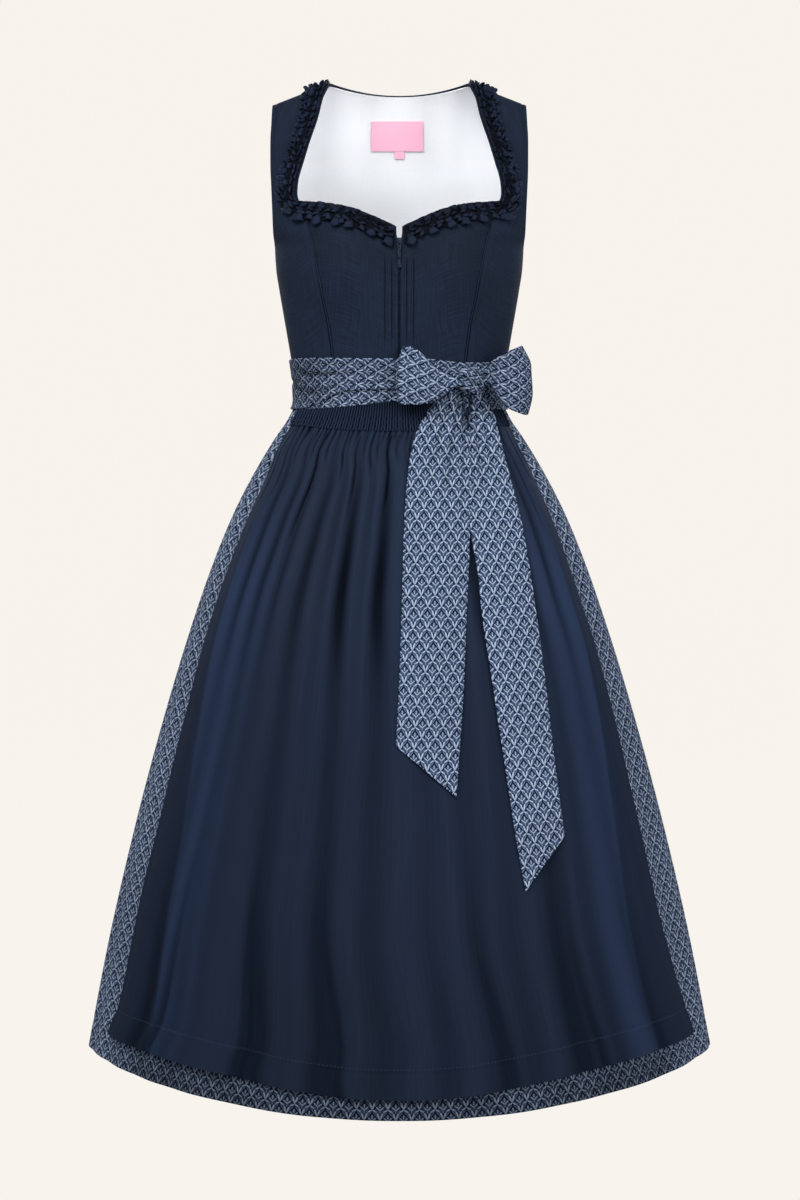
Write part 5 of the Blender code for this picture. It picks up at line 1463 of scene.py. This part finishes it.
def patch(name, box, columns):
    """A small flat piece sewn to the lining at the centre back. It gives back its face and directions."""
    left, right, top, bottom = box
    x = np.linspace(right, left, columns)
    drop = np.linspace(top, bottom, columns // 2)[:, None]
    points, directions = on_form(bodice_form, 180 - bodice_angle(x, drop), drop)
    inner = points - directions * (BODICE_WALL + SEAM_GAP + LINING_WALL + LABEL_GAP)
    outer = inner - directions * LABEL_WALL
    shell(name, outer, inner, "pink_label", fold=0.0001)
    return outer, -directions


def label():
    grids = patch("neck_label", LABEL_BOX, 40)
    patch("size_tab", TAB_BOX, 12)
    lines = [line_at(*grids, LABEL_STITCH, from_end) for from_end in (False, True)]
    lines += [tuple(grid[row, 2:-2] for grid in grids) for row in (1, -2)]
    stitches("label_stitches", lines, PINK_THREAD, pitch=0.0020, gap=0.0007,
             half_width=0.00022, stand=0.00012)


# Building everything

for side, word in ((-1, "left"), (1, "right")):
    bodice_front(side, word)
    bodice_side(side, word)
    trim_tape(side, word)
    petals(side, word)
bodice_back()
lining_back()
zip_teeth()
zip_tape()
stitches("bodice_stitches", STITCHED, THREAD)
skirt_half("front", 0.0, FRONT_WAVES, FRONT_FOLDS, 220, closer=0.35, gathered=0.0006, valley_shade=0.1125,
           ease_reach=0.22)
skirt_half("back", 180.0, BACK_WAVES, BACK_FOLDS, 312, closer=0.12, gathered=0.0018, valley_shade=0.45,
           ease_reach=0.05)
apron()
apron_gathers()
belt_under()
belt_over()
tail("bow_tail_left", LEFT_TAIL_ROWS, LEFT_TAIL_END, (
    (0.80, 0.55, 0.345, 0.470, 0.0022, 0.06), (0.55, 0.30, 0.350, 0.440, 0.0018, 0.06),
    (0.92, 0.86, 0.350, 0.520, 0.0014, 0.05), (0.30, 0.12, 0.360, 0.420, 0.0012, 0.05),
    (0.98, 0.93, 0.345, 0.400, 0.0034, 0.06)))
tail("bow_tail_right", RIGHT_TAIL_ROWS, RIGHT_TAIL_END, (
    (0.25, 0.35, 0.345, 0.480, 0.0022, 0.06), (0.55, 0.62, 0.350, 0.450, 0.0018, 0.06),
    (0.08, 0.12, 0.350, 0.520, 0.0014, 0.05), (0.02, 0.06, 0.345, 0.400, 0.0034, 0.05)), light=0.12)
loop("bow_loop_left", LEFT_LOOP, 4, (0.0065, -0.0005, 0.0))
loop("bow_loop_right", RIGHT_LOOP, 7, (-0.0095, 0.0015, -0.0015))
knot()
label()

# The sheets: name, flat width and length of the part of the cut that shows, its flat area where it
# isn't a rectangle, how it is held, what it lies on or hangs from, and what is sewn on it
SHEETS = [
    ("bodice_back", 0.376, 0.392, 0.1193, "stretched", "bodice_side_left bodice_side_right",
     "bodice_stitches"),
    ("lining_back", 0.366, 0.379, 0.1160, "stretched", "bodice_back", ""),
    ("zip_tape", 0.024, 0.182, None, "laid", "bodice_front_left bodice_front_right", "zip_teeth"),
    ("skirt_front", 1.020, 0.765, 0.7610, "gathered", "bodice_front_left bodice_front_right", ""),
    ("skirt_back", 1.090, 0.775, 0.8300, "gathered", "bodice_back", ""),
    ("apron", *APRON_CUT, None, "gathered", "apron_gathers skirt_front", "apron_stitches"),
    ("apron_gathers", BAND_CUT, 0.032, 0.0108, "gathered", "skirt_front", ""),
    ("belt_under", 0.058, 0.675, None, "stretched", "bodice_back skirt_front skirt_back", ""),
    ("belt_over", 0.0555, 0.308, 0.0130, "stretched", "belt_under", ""),
    ("bow_loop_left", 0.062, 0.153, 0.0068, "folded", "bow_knot belt_over", ""),
    ("bow_loop_right", 0.075, 0.132, 0.0072, "folded", "bow_knot belt_over", ""),
    ("bow_tail_left", 0.070, 0.430, 0.0287, "hung", "bow_knot apron", ""),
    ("bow_tail_right", 0.062, 0.545, 0.0316, "hung", "bow_knot apron", ""),
    ("neck_label", 0.0593, 0.0345, None, "laid", "lining_back", "size_tab_cloth label_stitches"),
]
for word in ("left", "right"):
    SHEETS += [
        ("bodice_front_" + word, 0.110, 0.237, 0.0195, "stretched", "bodice_side_" + word, ""),
        ("bodice_side_" + word, 0.120, 0.402, 0.0297, "stretched", "bodice_back", ""),
        ("neck_trim_" + word, TAPE_WIDTH, 0.320, None, "laid", "bodice_side_" + word, "trim_petals_" + word),
    ]
for node in ("zip_slider", "zip_pull"):
    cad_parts[node].data.materials.clear()
    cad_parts[node].data.materials.append(METAL)


# Floor, light and camera

FLOOR_HEIGHT, FLOOR_RADIUS, COVE_RADIUS = -1.42, 8.0, 3.0
DOME_RADIUS, DOME_HEIGHT = 11.0, 8.0


def studio():
    """A pale floor that curves up all round into a domed room. It lights nothing itself."""
    finish = Finish("pale studio paper", Roughness=0.9, Specular_IOR_Level=0.0)
    finish.colour(finish.shaded((0.006, 0.006, 0.006), finish.noise(3.0, cloth=False), 0.97, 1.03))
    finish.shader.inputs["Emission Color"].default_value = linear(248, 243, 237)
    finish.shader.inputs["Emission Strength"].default_value = 0.992
    profile = [(radius, FLOOR_HEIGHT) for radius in (0.0005, FLOOR_RADIUS / 2, FLOOR_RADIUS)]
    for a in np.linspace(0.2, 1.57, 8):
        rise = COVE_RADIUS * (1 - math.cos(a))
        profile.append((FLOOR_RADIUS + COVE_RADIUS * math.sin(a), FLOOR_HEIGHT + rise))
    for a in np.linspace(0.0, 1.569, 10):
        profile.append((DOME_RADIUS * math.cos(a), COVE_RADIUS + DOME_HEIGHT * math.sin(a)))
    turn = np.linspace(0, 2 * math.pi, 48, endpoint=False)
    points = np.array([(r * math.cos(a), r * math.sin(a), z) for r, z in profile for a in turn])
    mesh = new_mesh("studio_floor", points, grid_faces(len(profile), len(turn), ring=True)[0])
    mesh.materials.append(finish.material)
    room = placed("studio_floor", mesh)
    room.visible_diffuse = room.visible_glossy = room.visible_shadow = False


def area_light(name, place, aim, size, power):
    lamp = bpy.data.lights.new(name, "AREA")
    lamp.shape = "RECTANGLE"
    lamp.size, lamp.size_y = size
    lamp.energy = power
    holder = placed(name, lamp)
    holder.location = place
    holder.rotation_euler = (Vector(aim) - Vector(place)).to_track_quat("-Z", "Y").to_euler()
    holder.visible_camera = False


studio()
area_light("key", (-1.1, -2.8, 2.0), (0, 0, -0.45), (2.4, 1.8), 122.0)
area_light("fill", (2.0, -3.0, 0.5), (0, 0, -0.55), (2.2, 2.2), 62.0)
area_light("back left", (-1.3, 3.2, 1.1), (0, 0, -0.5), (1.8, 2.0), 62.0)
area_light("back right", (1.3, 3.2, 1.1), (0, 0, -0.5), (1.8, 2.0), 62.0)

world = bpy.data.worlds.new("studio")
world.use_nodes = True
bpy.context.scene.world = world
sky = world.node_tree.nodes["Background"].inputs
sky["Color"].default_value = (0.97, 0.98, 1.0, 1.0)
sky["Strength"].default_value = 0.36
bpy.context.scene.view_settings.view_transform = "Standard"

camera = bpy.data.cameras.new("camera")
camera.lens = 85.5
camera.sensor_fit = "VERTICAL"
camera.sensor_height = 36.0
viewer = placed("camera", camera)
viewer.location = (0.0008, -3.2, -0.274)
viewer.rotation_euler = (math.radians(84.61), 0, 0)
bpy.context.scene.camera = viewer
